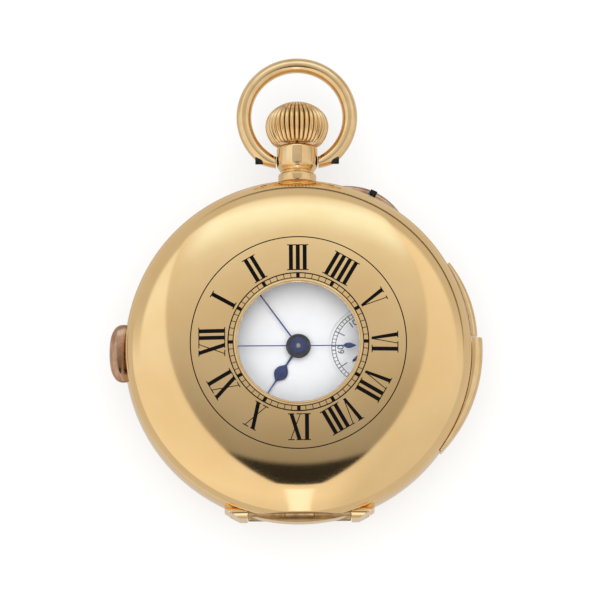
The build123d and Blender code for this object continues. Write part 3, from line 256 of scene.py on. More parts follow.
def band_gold(name):
    """Polished gold with shade painted dark brown into the hinge recesses between the ears."""
    ears_x, recess_y = 8.3 * MM, -24.9 * MM           # where the recesses begin, along X and outwards
    above_hinge, edge = 0.9 * MM, 0.2 * MM
    material = metal(name, GOLD_SHADES, **BAND_POLISH)
    tree = material.node_tree
    shader = tree.nodes["Principled BSDF"]
    place = tree.nodes.new("ShaderNodeSeparateXYZ")
    coordinates = tree.nodes.new("ShaderNodeTexCoord")
    tree.links.new(coordinates.outputs["Object"], place.inputs["Vector"])
    sideways = calculate(tree, "ABSOLUTE", place.outputs["X"])
    between_ears = smooth_step(tree, sideways, ears_x, ears_x - 1.5 * edge)
    outwards = smooth_step(tree, place.outputs["Y"], recess_y, recess_y - 2 * edge)
    upper_start = FRONT_HINGE.z - above_hinge
    lower_start = BACK_HINGE.z + above_hinge
    upper = smooth_step(tree, place.outputs["Z"], upper_start, upper_start + edge)
    lower = smooth_step(tree, place.outputs["Z"], lower_start, lower_start - edge)
    # mask of the painted shade: the hinge recesses between the ears, towards the band's two edges
    painted_shade_mask = product(tree, between_ears, outwards, calculate(tree, "MAXIMUM", upper, lower))
    polished = shader.inputs["Base Color"].links[0].from_socket
    # dark brown gold painted in there as shade
    painted_shade_colour = clouds(tree, PAINTED_SHADE_SCALE, PAINTED_SHADE_TONES)
    tree.links.new(mix_colours(tree, painted_shade_mask, polished, painted_shade_colour), shader.inputs["Base Color"])
    return material


GOLD = metal("yellow_gold", GOLD_SHADES, **BAND_POLISH)
GOLD_FINE = metal("yellow_gold_small_parts", ((0.93, 0.66, 0.35), (0.84, 0.57, 0.27)), 0.08, 0.07, 400.0)
# Material of the painted shade on the covers' knuckles and in the crown's grooves.
GOLD_PAINTED_SHADE = metal("gold_painted_shade", PAINTED_SHADE_TONES, 0.26, 0.15, PAINTED_SHADE_SCALE, 0.1)
ROSE_GOLD = metal("rose_gold", ((0.66, 0.40, 0.26), (0.40, 0.22, 0.12)), 0.10, 0.10, 420.0, 0.08)
GILT = metal("frosted_gilt", ((0.88, 0.72, 0.42), (0.80, 0.62, 0.33)), 0.34, 0.12, 300.0, 0.2)
GEAR_BRASS = metal("gilt_wheels", ((0.90, 0.70, 0.36), (0.80, 0.58, 0.26)), 0.22, 0.10, 500.0)
STEEL = metal("polished_steel", ((0.66, 0.67, 0.69), (0.56, 0.57, 0.59)), 0.18, 0.12, 500.0)
BLUED = metal("blued_steel", ((0.045, 0.09, 0.36), (0.025, 0.05, 0.20)), 0.14, 0.08, 300.0)
BLACK_STEEL = metal("blackened_steel", ((0.06, 0.05, 0.05), (0.02, 0.02, 0.02)), 0.35, 0.15, 900.0)
WHITE_ENAMEL = enamel("white_enamel", (0.95, 0.945, 0.945), (0.92, 0.915, 0.915))
BLACK_ENAMEL = enamel("black_enamel", (0.006, 0.004, 0.004), (0.003, 0.002, 0.002), 0.5, 0.0, 0.05)
GLASS = clear_glass("watch_glass")
RUBY = enamel("ruby", (0.55, 0.03, 0.12), (0.35, 0.01, 0.06), 0.08)
BAND_GOLD = band_gold("yellow_gold_band")

SLOT_MATERIAL = {"gold": GOLD, "rose_gold": ROSE_GOLD, "gilt": GILT, "steel": STEEL, "blued_steel": BLUED,
                 "black_steel": BLACK_STEEL, "enamel": WHITE_ENAMEL, "glass": GLASS, "ruby": RUBY}
WHEELS = ("barrel", "centre_wheel", "third_wheel", "fourth_wheel", "minute_wheel", "hour_wheel",
          "balance_wheel", "chrono_runner")


def dress_cad_nodes():
    """Every carried-over CAD node gets its slot's material; wheels and the band have their own."""
    for part in frame["record"]["subparts"]:
        node = NODES[part["node"]]
        material = SLOT_MATERIAL[part["material_slot"]]
        if part["node"] in WHEELS:
            material = GEAR_BRASS
        if part["node"] == "mid_band":
            material = BAND_GOLD
        node.data.materials.clear()
        node.data.materials.append(material)


# ---- mesh helpers ---------------------------------------------------------------
def new_mesh(name, bm, material):
    """Mesh of a finished bmesh, with its faces turned outwards."""
    bmesh.ops.recalc_face_normals(bm, faces=bm.faces)
    mesh = bpy.data.meshes.new(name)
    bm.to_mesh(mesh)
    bm.free()
    mesh.materials.append(material)
    return mesh


def new_object(name, data):
    """Object in the scene that shows a mesh, a lamp or a camera."""
    item = bpy.data.objects.new(name, data)
    bpy.context.scene.collection.objects.link(item)
    return item


def finish_mesh(name, bm, body, material, sharp=40.0, replaces=()):
    """Turns a bmesh into a piece that rides on a body."""
    mesh = new_mesh(name, bm, material)
    mesh.shade_smooth()
    mesh.set_sharp_from_angle(angle=radians(sharp))
    piece = new_object(name, mesh)
    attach(piece, body)
    if replaces:
        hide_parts(*replaces)
    return piece


def skin(bm, loops):
    """Joins closed loops of equal length by quads; the faces come back in order, loop by loop."""
    faces = []
    for first, second in zip(loops, loops[1:]):
        for index in range(len(first)):
            after = (index + 1) % len(first)
            faces.append(bm.faces.new([first[index], first[after], second[after], second[index]]))
    return faces


def cap_ends(bm, loops):
    """Closes the two ends of a skin of loops."""
    bm.faces.new(loops[0])
    bm.faces.new(list(reversed(loops[-1])))


def add_lathe(bm, profile, segments=192, closed=True, place=Matrix.Identity(4)):
    """Adds a surface of revolution about Z; points on the axis become one vertex."""
    on_axis = 1e-7
    rings = []
    for radius, height in profile:
        if radius < on_axis:
            rings.append([bm.verts.new(place @ Vector((0, 0, height)))])
            continue
        ring = []
        for index in range(segments):
            angle = 2 * pi * index / segments
            ring.append(bm.verts.new(place @ Vector((radius * cos(angle), radius * sin(angle), height))))
        rings.append(ring)
    pairs = list(zip(rings, rings[1:]))
    if closed:
        pairs.append((rings[-1], rings[0]))
    for first, second in pairs:
        if len(first) == 1 and len(second) == 1:
            continue
        for index in range(segments):
            following = (index + 1) % segments
            corners = [first[index % len(first)], first[following % len(first)],
                       second[following % len(second)], second[index % len(second)]]
            unique = list(dict.fromkeys(corners))
            if len(unique) > 2:
                bm.faces.new(unique)


def add_turning(bm, profile, low, segments, closed=False):
    """Adds a turned piece standing on a height; its profile is in millimetres."""
    add_lathe(bm, [(radius * MM, low + height * MM) for radius, height in profile], segments, closed)


def rounded(points, radius, steps=4):
    """Closed outline with every corner rounded by short arcs."""
    most = 0.45             # a corner takes up less than half of its shorter side
    out = []
    count = len(points)
    for index, point in enumerate(points):
        here = Vector(point)
        before = Vector(points[index - 1]) - here
        after = Vector(points[(index + 1) % count]) - here
        reach = min(radius, before.length * most, after.length * most)
        start = here + before.normalized() * reach
        end = here + after.normalized() * reach
        for step in range(steps + 1):
            share = step / steps
            out.append(tuple(start * (1 - share) ** 2 + here * 2 * share * (1 - share) + end * share ** 2))
    return out


def dome_height(radius, rise, r):
    """Height of a cover above its base at distance r from the middle."""
    return rise * sqrt(max(0.0, 1 - (r / radius) ** DOME_POWER))


def dome_points(radius, rise, base, sign, inner_r, count):
    """Cover outline from inner_r to the rim, closer together towards the rim."""
    start = atan2(sqrt((inner_r / radius) ** DOME_POWER), sqrt(1 - (inner_r / radius) ** DOME_POWER))
    points = []
    for index in range(count + 1):
        angle = start + (pi / 2 - start) * index / count
        points.append((radius * sin(angle) ** (2 / DOME_POWER), base + sign * rise * cos(angle)))
    return points


def cover_z(r):
    """Outer surface of the front cover at distance r from the middle."""
    return BAND_TOP + dome_height(COVER_R, FRONT_RISE, r)


def dial_z(_):
    """The dial is flat: the same height at every distance from the middle."""
    return dial_high.z


def sunk_z(_):
    """The sunk seconds circle is flat too."""
    return sunk_high.z


def add_prism(bm, outline, low, high):
    """Adds a closed plate with a polygon outline."""
    lower = [bm.verts.new((x, y, low)) for x, y in outline]
    upper = [bm.verts.new((x, y, high)) for x, y in outline]
    bm.faces.new(list(reversed(lower)))
    bm.faces.new(upper)
    skin(bm, [lower, upper])


def add_strip(bm, left, right, surface, lift):
    """Adds an inlaid stroke: a strip between two lines of points, laid on a surface."""
    def layer(offset):
        return [[bm.verts.new((x, y, surface((x * x + y * y) ** 0.5) + offset)) for x, y in line]
                for line in (left, right)]
    top_left, top_right = layer(lift)
    low_left, low_right = layer(-INLAY_DEPTH)
    for index in range(len(left) - 1):
        after = index + 1
        bm.faces.new([top_left[index], top_right[index], top_right[after], top_left[after]])
        bm.faces.new([low_left[index], low_left[after], low_right[after], low_right[index]])
        bm.faces.new([low_left[index], top_left[index], top_left[after], low_left[after]])
        bm.faces.new([low_right[index], low_right[after], top_right[after], top_right[index]])
    bm.faces.new([low_left[0], low_right[0], top_right[0], top_left[0]])
    bm.faces.new([low_left[-1], top_left[-1], top_right[-1], low_right[-1]])


# ---- case -----------------------------------------------------------------------
def flatten_hinge_side(bm):
    """Presses the rim in to the flat that lies along the hinge."""
    for vertex in bm.verts:
        if vertex.co.y < FLAT_Y:
            vertex.co.y = FLAT_Y


def add_rod_x(bm, radius, start, end, y, z, segments=40):
    """Adds a rod along X with softened ends."""
    edge = 0.08 * MM
    profile = [(0, start), (radius - edge, start), (radius, start + edge), (radius, end - edge),
               (radius - edge, end), (0, end)]
    place = Matrix.Translation((0, y, z)) @ Matrix.Rotation(pi / 2, 4, "Y")
    add_lathe(bm, profile, segments, closed=False, place=place)


def add_cover_knuckles(bm, hinge, rim_z):
    """The two hinge knuckles of a cover, painted dark brown as shade, and their webs."""
    knuckle_start, knuckle_end = 2.3 * MM, 8.1 * MM
    web_start, web_end = 2.35 * MM, 5.4 * MM
    web_in, web_out = FLAT_Y + 0.02 * MM, hinge.y + 0.25 * MM
    shell_faces = set(bm.faces)
    for side in (-1, 1):
        start, end = sorted((side * knuckle_start, side * knuckle_end))
        add_rod_x(bm, KNUCKLE_R, start, end, hinge.y, hinge.z)
    # the knuckles take the second material, a dark brown painted shade
    for face in bm.faces:
        if face not in shell_faces:
            face.material_index = 1
    for side in (-1, 1):
        start, end = sorted((side * web_start, side * web_end))
        low, high = sorted((hinge.z, rim_z))
        add_prism(bm, [(start, web_in), (end, web_in), (end, web_out), (start, web_out)], low, high)


def make_front_cover():
    """Domed lid with a rolled lip, open in the middle for the small glass."""
    bm = bmesh.new()
    outer = dome_points(COVER_R, FRONT_RISE, BAND_TOP, 1, APERTURE_R, 72)
    inner = dome_points(COVER_R - WALL, FRONT_RISE - WALL, BAND_TOP, 1, APERTURE_R, 40)
    # distance out from the rim and up from the band's edge, in millimetres
    bead = [(0.0, 0.46), (0.015, 0.4), (0.09, 0.34), (0.135, 0.25), (0.14, 0.1), (0.1, 0.0)]
    lip = [(COVER_R + out * MM, BAND_TOP + up * MM) for out, up in bead]
    lip_start = lip[0][1] + 0.1 * MM
    profile = [point for point in outer if point[1] > lip_start] + lip + list(reversed(inner))
    add_lathe(bm, profile, 384)
    flatten_hinge_side(bm)
    add_cover_knuckles(bm, FRONT_HINGE, BAND_TOP + 0.9 * MM)
    cover = finish_mesh("front_cover_shell", bm, "front_cover", GOLD, 30, ["front_cover"])
    # second material: shade painted on the knuckles
    cover.data.materials.append(GOLD_PAINTED_SHADE)


def make_back_cover():
    """Domed back, flat where the watch lies on it, with a low straight skirt under the band."""
    bm = bmesh.new()
    base = BAND_BOTTOM - BACK_SKIRT
    chamfer = 0.06 * MM
    outer = dome_points(COVER_R, BACK_RISE, base, -1, 0.0, 72)
    outer = [(r, max(z, 0.0)) for r, z in outer]
    inner = dome_points(COVER_R - WALL, BACK_RISE - WALL, base, -1, 0.0, 40)
    skirt = [(COVER_R, BAND_BOTTOM - chamfer), (COVER_R - chamfer, BAND_BOTTOM),
             (COVER_R - WALL, BAND_BOTTOM)]
    add_lathe(bm, outer + skirt + list(reversed(inner)), 384, closed=False)
    flatten_hinge_side(bm)
    add_cover_knuckles(bm, BACK_HINGE, BAND_BOTTOM - 0.9 * MM)
    cover = finish_mesh("back_cover_shell", bm, "back_cover", GOLD, 30, ["back_cover"])
    # second material: shade painted on the knuckles
    cover.data.materials.append(GOLD_PAINTED_SHADE)


def make_aperture_bezel():
    """Rolled gold rim that holds the small glass in the front cover."""
    bm = bmesh.new()
    inner_r = 9.57 * MM
    inner_chamfer, outer_chamfer = 0.12 * MM, 0.06 * MM
    outline = [(inner_r, glass_high.z), (glass_high.x, glass_high.z), (glass_high.x, bezel_low.z),
               (APERTURE_R, bezel_low.z), (APERTURE_R, bezel_high.z - outer_chamfer),
               (APERTURE_R - 2.5 * outer_chamfer, bezel_high.z), (inner_r + inner_chamfer, bezel_high.z),
               (inner_r, bezel_high.z - inner_chamfer)]
    add_lathe(bm, rounded(outline, outer_chamfer), 256)
    finish_mesh("aperture_rim", bm, "front_cover", GOLD_FINE, 40, ["aperture_bezel"])


def make_cover_glass():
    """Small flat glass with a broken upper edge."""
    bm = bmesh.new()
    radius = glass_high.x
    edge = 0.02 * MM
    outline = [(0, glass_low.z), (radius, glass_low.z), (radius, glass_high.z - edge),
               (radius - edge, glass_high.z), (0, glass_high.z)]
    add_lathe(bm, outline, 128, closed=False)
    finish_mesh("small_glass", bm, "front_cover", GLASS, 30, ["cover_glass"])


# ---- neck, crown and bow ------------------------------------------------------------
def stem_place(y):
    """Frame whose Z runs out along the stem from a given distance."""
    return Matrix.Translation((0, y, STEM_Z)) @ Matrix.Rotation(-pi / 2, 4, "X")


def make_crown():
    """Onion crown: rounded ridges with narrow grooves between them, with shade painted dark brown down in the
    grooves.
    """
    bm = bmesh.new()
    flutes, per_flute = 36, 10
    groove_power = 2.2
    underside_y = 34.0 * MM
    # height above the underside, ridge radius and groove depth, in millimetres
    rings = [(-0.04, 3.36, 0.0), (-0.3, 3.4, 0.0), (-0.36, 3.56, 0.14), (-0.28, 3.76, 0.36),
             (0.0, 4.04, 0.48), (0.45, 4.33, 0.5), (0.95, 4.62, 0.54), (1.5, 4.84, 0.56),
             (2.1, 4.97, 0.57), (2.7, 5.02, 0.57), (3.3, 4.96, 0.56), (3.9, 4.79, 0.55),
             (4.45, 4.5, 0.52), (4.95, 4.1, 0.48), (5.4, 3.62, 0.44), (5.78, 3.08, 0.38),
             (6.08, 2.52, 0.3), (6.3, 2.0, 0.2), (6.42, 1.6, 0.08), (6.46, 1.4, 0.0)]
    place = stem_place(underside_y)
    loops = []
    for height, ridge, groove_depth in rings:
        loop = []
        for index in range(flutes * per_flute):
            share = (index % per_flute) / per_flute
            groove = abs(2 * share - 1) ** groove_power
            radius = (ridge - groove_depth * groove) * MM
            angle = 2 * pi * (index + per_flute / 2) / (flutes * per_flute)
            loop.append(bm.verts.new(place @ Vector((radius * cos(angle), radius * sin(angle), height * MM))))
        loops.append(loop)
    # faces next to the bottom of each groove get the painted shade material
    for number, face in enumerate(skin(bm, loops)):
        if number % per_flute in (0, per_flute - 1):
            face.material_index = 1
    cap_ends(bm, loops)
    collar_r, collar_low, collar_high = 1.5 * MM, -0.9 * MM, -0.1 * MM
    collar = [(0, collar_low), (collar_r, collar_low), (collar_r, collar_high), (0, collar_high)]
    add_lathe(bm, collar, 48, closed=False, place=place)
    knob = finish_mesh("crown_knob", bm, "crown", GOLD_FINE, 50, ["crown"])
    # second material: shade painted in the grooves
    knob.data.materials.append(GOLD_PAINTED_SHADE)


NECK_R = 3.25            # radius of the block that carries the bow, in millimetres


def make_pendant():
    """Neck of the case: a ribbed foot, a groove, and the block that carries the bow."""
    bm = bmesh.new()
    # radius and distance along the stem, in millimetres
    foot = [(0.63, 26.4), (2.5, 26.4), (2.5, 27.42), (2.95, 27.42), (3.02, 27.6), (3.03, 28.62), (2.9, 28.82)]
    groove = [(2.5, 28.95), (2.45, 29.08), (2.5, 29.22), (2.72, 29.34), (2.86, 29.6), (3.18, 30.02)]
    block = [(NECK_R, 30.3), (NECK_R, 32.9), (3.1, 33.25), (2.85, 33.4)]
    mouth = [(1.6, 33.4), (1.6, 32.2), (0.63, 32.2)]
    profile = rounded([(r * MM, y * MM) for r, y in foot + groove + block + mouth], 0.12 * MM, 3)
    add_lathe(bm, profile, 128, place=stem_place(0.0))
    finish_mesh("pendant_neck", bm, "case", GOLD_FINE, 50, ["pendant"])


def make_cartouche():
    """Raised edge of a plain shield on the neck, where assay marks would be."""
    bm = bmesh.new()
    half_width, y_low, y_high, corner = 0.95, 29.75, 33.1, 0.35
    thickness = 0.1

    def edge_line(inset, lift):
        """The shield's outline, pulled in and laid over the neck: its upper and its lower line."""
        side = half_width - inset
        box = [(-side, y_low + inset), (side, y_low + inset), (side, y_high - inset), (-side, y_high - inset)]
        shape = rounded(box, corner, 5)
        heights = [sqrt(NECK_R ** 2 - x * x) + lift for x, _ in shape]
        return [[bm.verts.new((x * MM, y * MM, STEM_Z + (height - drop) * MM))
                 for (x, y), height in zip(shape, heights)] for drop in (0.0, thickness)]

    outer_top, outer_low = edge_line(0.0, 0.05)
    inner_top, inner_low = edge_line(0.2, 0.11)
    skin(bm, [outer_low, outer_top, inner_top, inner_low, outer_low])
    finish_mesh("plain_cartouche", bm, "case", GOLD_FINE, 40)


def make_bow():
    """Round wire bow, open at the bottom, with its ends dressed flat against the neck."""
    bm = bmesh.new()
    mean_r, wire_r = 8.42 * MM, 1.18 * MM
    gap = 3.38 * MM                       # half the opening between the two ends
    sections, around = 128, 40
    dressed = 12                          # sections at each end that are kept out of the gap
    squat_y, squat = 30.6 * MM, 0.5       # below this height the wire is drawn up by half
    overlap = 0.06                        # extra angle at each end, to be dressed away
    centre_y = bow_high.y - mean_r - wire_r
    start = atan2(-sqrt(mean_r ** 2 - gap ** 2), gap) - overlap
    end = pi - start
    loops = []
    for index in range(sections + 1):
        angle = start + (end - start) * index / sections
        loop = []
        for step in range(around):
            turn = 2 * pi * step / around
            radius = mean_r + wire_r * cos(turn)
            x = radius * cos(angle)
            if index < dressed:
                x = max(x, gap)
            if index > sections - dressed:
                x = min(x, -gap)
            y = centre_y + radius * sin(angle)
            y += max(0.0, squat_y - y) * squat
            loop.append(bm.verts.new((x, y, STEM_Z + wire_r * sin(turn))))
        loops.append(loop)
    skin(bm, loops)
    cap_ends(bm, loops)
    finish_mesh("bow_ring", bm, "bow", GOLD_FINE, 50, ["bow"])


def make_bow_screws():
    """Blackened heads sunk in the lower outer side of the bow."""
    bm = bmesh.new()
    head_r, inner_end, outer_end = 0.62 * MM, 3.3 * MM, 6.65 * MM
    y, z = BOW_PIVOT.y - 0.1 * MM, BOW_PIVOT.z + 0.35 * MM
    for side in (-1, 1):
        start, end = sorted((side * inner_end, side * outer_end))
        add_rod_x(bm, head_r, start, end, y, z, 24)
    finish_mesh("bow_screw_heads", bm, "case", BLACK_STEEL, 40, ["bow_screws"])


# ---- printing -------------------------------------------------------------------
NUMERALS = ["XII", "I", "II", "III", "IIII", "V", "VI", "VII", "VIII", "IX", "X", "XI"]
HOUR = pi / 6
MINUTE = pi / 30


def dial_angle(steps, size):
    """Direction of an hour or a minute; XII stands on the left, since the crown is at III."""
    return pi - steps * size


def turned_points(points, angle):
    """Turns points drawn with Y pointing outwards so that they sit at an angle."""
    rotation = angle - pi / 2
    return [(x * cos(rotation) - y * sin(rotation), x * sin(rotation) + y * cos(rotation)) for x, y in points]


def add_stroke(bm, start, end, widths, angle, surface, lift, steps=4):
    """One straight stroke of a numeral; its two widths are measured across the dial's radius."""
    left, right = [], []
    for index in range(steps + 1):
        share = index / steps
        x = start[0] + (end[0] - start[0]) * share
        y = start[1] + (end[1] - start[1]) * share
        half = (widths[0] + (widths[1] - widths[0]) * share) / 2
        left.append((x - half, y))
        right.append((x + half, y))
    add_strip(bm, turned_points(left, angle), turned_points(right, angle), surface, lift)


def add_serif(bm, x, y, width, thick, angle, surface, lift):
    """Thin bar across the end of a stroke."""
    left = [(x - width / 2 + width * index / 4, y - thick / 2) for index in range(5)]
    right = [(px, y + thick / 2) for px, _ in left]
    add_strip(bm, turned_points(left, angle), turned_points(right, angle), surface, lift)


def add_numeral(bm, text, angle, foot, head, thick, surface, lift):
    """Roman numeral with its foot towards the middle of the dial."""
    thin = thick * 0.22
    serif = thick * 0.24
    gap = thick * 0.72
    widths = {"I": thick, "V": thick * 3.1, "X": thick * 3.3}
    foot_serif, head_serif = foot + serif / 2, head - serif / 2

    def stroke(start, end, start_width, end_width):
        add_stroke(bm, start, end, (start_width, end_width), angle, surface, lift)

    def bar(middle, y, width):
        add_serif(bm, middle, y, thick * width, serif, angle, surface, lift * 1.15)

    x = -(sum(widths[letter] for letter in text) + gap * (len(text) - 1)) / 2
    for letter in text:
        width = widths[letter]
        middle = x + width / 2
        if letter == "I":
            stroke((middle, foot), (middle, head), thick, thick)
            for y in (foot_serif, head_serif):
                bar(middle, y, 1.9)
        elif letter == "V":
            left, right = x + thick * 0.55, x + width - thin
            stroke((left, head), (middle + thick * 0.1, foot), thick, thick * 0.7)
            stroke((right, head), (middle + thick * 0.2, foot), thin, thin)
            bar(left, head_serif, 1.7)
            bar(right, head_serif, 1.0)
        else:
            left, right = x + thick * 0.6, x + width - thick * 0.6
            stroke((left, head), (right, foot), thick, thick)
            stroke((right + thin, head), (left - thin, foot), thin, thin)
            for y in (foot_serif, head_serif):
                for spot in (left, right):
                    bar(spot, y, 1.6)
        x += width + gap


def add_ring_line(bm, radius, width, surface, lift, segments=256, centre=(0, 0)):
    """Thin inlaid circle."""
    inner, outer = radius - width / 2, radius + width / 2
    outline = [(inner, surface(inner) - INLAY_DEPTH), (outer, surface(outer) - INLAY_DEPTH),
               (outer, surface(outer) + lift), (inner, surface(inner) + lift)]
    add_lathe(bm, outline, segments, place=Matrix.Translation((*centre, 0)))


def add_minute_track(bm, inner, outer, surface, lift, block_width, line_width):
    """Two circles with sixty ticks, every fifth one a solid block."""
    add_ring_line(bm, inner, line_width, surface, lift)
    add_ring_line(bm, outer, line_width * 1.3, surface, lift)
    for minute in range(60):
        width = line_width * 0.8 if minute % 5 else block_width
        angle = dial_angle(minute, MINUTE)
        add_stroke(bm, (0, inner), (0, outer), (width, width), angle, surface, lift * 0.9, steps=1)


def make_cover_numerals():
    """Black enamel chapter ring let into the front cover."""
    bm = bmesh.new()
    lift = 0.012 * MM
    foot, head, thick = 11.5 * MM, 15.72 * MM, 0.63 * MM
    track_inner, track_outer, block, line = 10.28 * MM, 11.07 * MM, 0.56 * MM, 0.14 * MM
    border_r, border_width = 17.0 * MM, 0.17 * MM
    for hour, text in enumerate(NUMERALS):
        add_numeral(bm, text, dial_angle(hour, HOUR), foot, head, thick, cover_z, lift)
    add_minute_track(bm, track_inner, track_outer, cover_z, lift, block, line)
    add_ring_line(bm, border_r, border_width, cover_z, lift)
    finish_mesh("cover_enamel_numerals", bm, "front_cover", BLACK_ENAMEL, 40)


def make_dial_printing():
    """Hour numerals and minute track of the dial; V, VI and VII give way to the seconds circle."""
    bm = bmesh.new()
    lift = 0.01 * MM
    foot, head, thick = 14.2 * MM, 18.3 * MM, 0.55 * MM
    track_inner, track_outer, block, line = 19.3 * MM, 20.1 * MM, 0.4 * MM, 0.09 * MM
    for hour, text in enumerate(NUMERALS):
        if abs(hour - 6) > 1:
            add_numeral(bm, text, dial_angle(hour, HOUR), foot, head, thick, dial_z, lift)
    add_minute_track(bm, track_inner, track_outer, dial_z, lift, block, line)
    finish_mesh("dial_printing", bm, "case", BLACK_ENAMEL, 40)


def make_seconds_printing():
    """Sub-seconds track: two circles, sixty ticks and a figure every ten seconds."""
    bm = bmesh.new()
    lift = 0.01 * MM
    outer, inner, long_inner = 6.0 * MM, 5.4 * MM, 4.35 * MM
    line, tick, fifth_tick = 0.1 * MM, 0.09 * MM, 0.14 * MM
    figure_r, figure_size = 4.55 * MM, 1.45 * MM
    centre = (SUNK_X, 0.0)
    for radius in (outer, inner):
        add_ring_line(bm, radius, line, sunk_z, lift, 128, centre)
    lean = radians(4.5)               # the circle was printed a little turned
    for second in range(60):
        fifth = second % 5 == 0
        foot = long_inner if fifth and second % 10 else inner
        width = fifth_tick if fifth else tick
        before = set(bm.verts)
        angle = lean + dial_angle(second, MINUTE)
        add_stroke(bm, (0, foot), (0, outer), (width, width), angle, sunk_z, lift, steps=1)
        for vertex in set(bm.verts) - before:
            vertex.co.x += SUNK_X
    finish_mesh("seconds_printing", bm, "case", BLACK_ENAMEL, 40)
    for figure in range(10, 70, 10):
        add_figure(str(figure), lean + dial_angle(figure, MINUTE), figure_r, figure_size, centre)


def add_figure(text, angle, radius, size, centre):
    """Small printed figure standing outwards on the seconds circle."""
    curve = bpy.data.curves.new("figure", "FONT")
    curve.body = text
    curve.size = size
    curve.align_x = "CENTER"
    curve.align_y = "CENTER"
    curve.extrude = 0.008 * MM
    holder = bpy.data.objects.new("figure", curve)
    mesh = bpy.data.meshes.new_from_object(holder)
    bpy.data.objects.remove(holder)
    x, y = centre[0] + radius * cos(angle), centre[1] + radius * sin(angle)
    mesh.transform(Matrix.Translation((x, y, sunk_high.z)) @ Matrix.Rotation(angle - pi / 2, 4, "Z"))
    mesh.materials.clear()
    mesh.materials.append(BLACK_ENAMEL)
    piece = new_object("seconds_figure_" + text, mesh)
    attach(piece, "case")


# ---- hands ----------------------------------------------------------------------
def smooth_line(points, steps=6):
    """Passes a smooth curve through outline points (Catmull-Rom)."""
    thinnest = 0.02
    out = []
    count = len(points)
    for index in range(count - 1):
        p0 = Vector(points[max(index - 1, 0)])
        p1, p2 = Vector(points[index]), Vector(points[index + 1])
        p3 = Vector(points[min(index + 2, count - 1)])
        for step in range(steps):
            t = step / steps
            out.append(0.5 * ((2 * p1) + (p2 - p0) * t + (2 * p0 - 5 * p1 + 4 * p2 - p3) * t * t
                              + (3 * p1 - p0 - 3 * p2 + p3) * t ** 3))
    out.append(Vector(points[-1]))
    return [(p.x, max(p.y, thinnest)) for p in out]


def add_hand_blade(bm, half, low):
    """A hand's blade: flat below, with a ridge along its middle above."""
    side_z = low + 0.072 * MM
    ridge_height = 0.05
    rows = []
    for x, wide in half:
        ridge = min(ridge_height, wide * 0.5)
        corners = [(wide, low), (wide, side_z), (0, side_z + ridge * MM), (-wide, side_z), (-wide, low)]
        rows.append([bm.verts.new((x * MM, y * MM, z)) for y, z in corners])
    skin(bm, rows)
    cap_ends(bm, rows)


def make_hand(name, node, body, halves, hub_profile, angle, centre=(0, 0)):
    """One blued hand: its blades, given as distances and half widths, turned to an angle, and its hub."""
    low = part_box(node)[0].z
    bm = bmesh.new()
    for half in halves:
        add_hand_blade(bm, half, low)
    turn = Matrix.Rotation(angle, 4, "Z")
    bmesh.ops.transform(bm, matrix=turn, verts=bm.verts)
    bored = hub_profile[0][0] > 0
    add_turning(bm, hub_profile, low, 64, closed=bored)
    bmesh.ops.transform(bm, matrix=Matrix.Translation((*centre, 0)), verts=bm.verts)
    finish_mesh(name, bm, body, BLUED, 35, [node])


def pear(start, end, half_width):
    """Outline of a pear-shaped swelling between two distances."""
    length = end - start
    shares = [(0.0, 0.12), (0.1, 0.35), (0.28, 0.8), (0.5, 1.0), (0.7, 0.9), (0.88, 0.5), (1.0, 0.14)]
    return [(start + length * share, half_width * wide) for share, wide in shares]


# Outlines of the hands are distances along the hand and half widths; hubs and other turnings are radii
# and heights. All are in millimetres.
def make_hour_hand():
    """Two pears and a small bar between them, then a needle point."""
    inner = smooth_line([(1.2, 0.24), (3.3, 0.14)] + pear(3.5, 6.5, 1.08))
    bar = [(6.7, 0.13), (8.6, 0.08), (8.8, 0.1), (8.92, 0.44), (9.06, 0.44), (9.2, 0.1), (10.2, 0.12)]
    outer = smooth_line(bar + pear(10.4, 13.6, 1.02) + [(14.1, 0.08), (14.8, 0.03)])
    hub = [(0.8, 0), (1.65, 0), (1.72, 0.06), (1.6, 0.16), (0.8, 0.16)]
    make_hand("hour_hand_blued", "hour_hand", "hour", [inner + outer], hub, radians(-123.2))


def make_minute_hand():
    """A long thin arm, one pear and a needle point, with a grooved hub."""
    blade = smooth_line([(1.4, 0.13), (12.8, 0.09)] + pear(13.0, 16.2, 0.85) + [(17.0, 0.1), (19.4, 0.03)])
    hub = [(0.5, 0), (1.8, 0), (1.92, 0.06), (1.92, 0.14), (1.8, 0.2), (1.62, 0.2), (1.56, 0.12),
           (1.45, 0.12), (1.4, 0.24), (0.5, 0.24)]
    make_hand("minute_hand_blued", "minute_hand", "centre", [blade], hub, radians(125.8))


def make_hand_collar():
    """Dark ring round the hub of the minute hand."""
    bm = bmesh.new()
    collar = [(1.42, 0.1), (1.93, 0.1), (1.96, 0.2), (1.84, 0.27), (1.56, 0.27), (1.42, 0.2)]
    add_turning(bm, collar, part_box("minute_hand")[0].z, 96, closed=True)
    finish_mesh("hand_collar", bm, "centre", BLACK_STEEL, 35)


def make_chronograph_hand():
    """Thin centre-seconds hand with a counterpoise on its tail."""
    blade = [(0.9, 0.09), (10.0, 0.08), (19.0, 0.05)]
    tail = smooth_line([(-9.1, 0.03), (-8.7, 0.22), (-8.2, 0.42), (-7.7, 0.42), (-7.2, 0.2), (-6.9, 0.09),
                        (-0.9, 0.09)])
    hub = [(0, 0), (1.26, 0), (1.3, 0.1), (1.2, 0.2), (1.05, 0.22), (0.98, 0.14), (0.74, 0.14), (0.7, 0.26),
           (0.5, 0.3), (0, 0.3)]
    make_hand("chronograph_hand_blued", "chrono_hand", "chrono", [blade, tail], hub, pi)


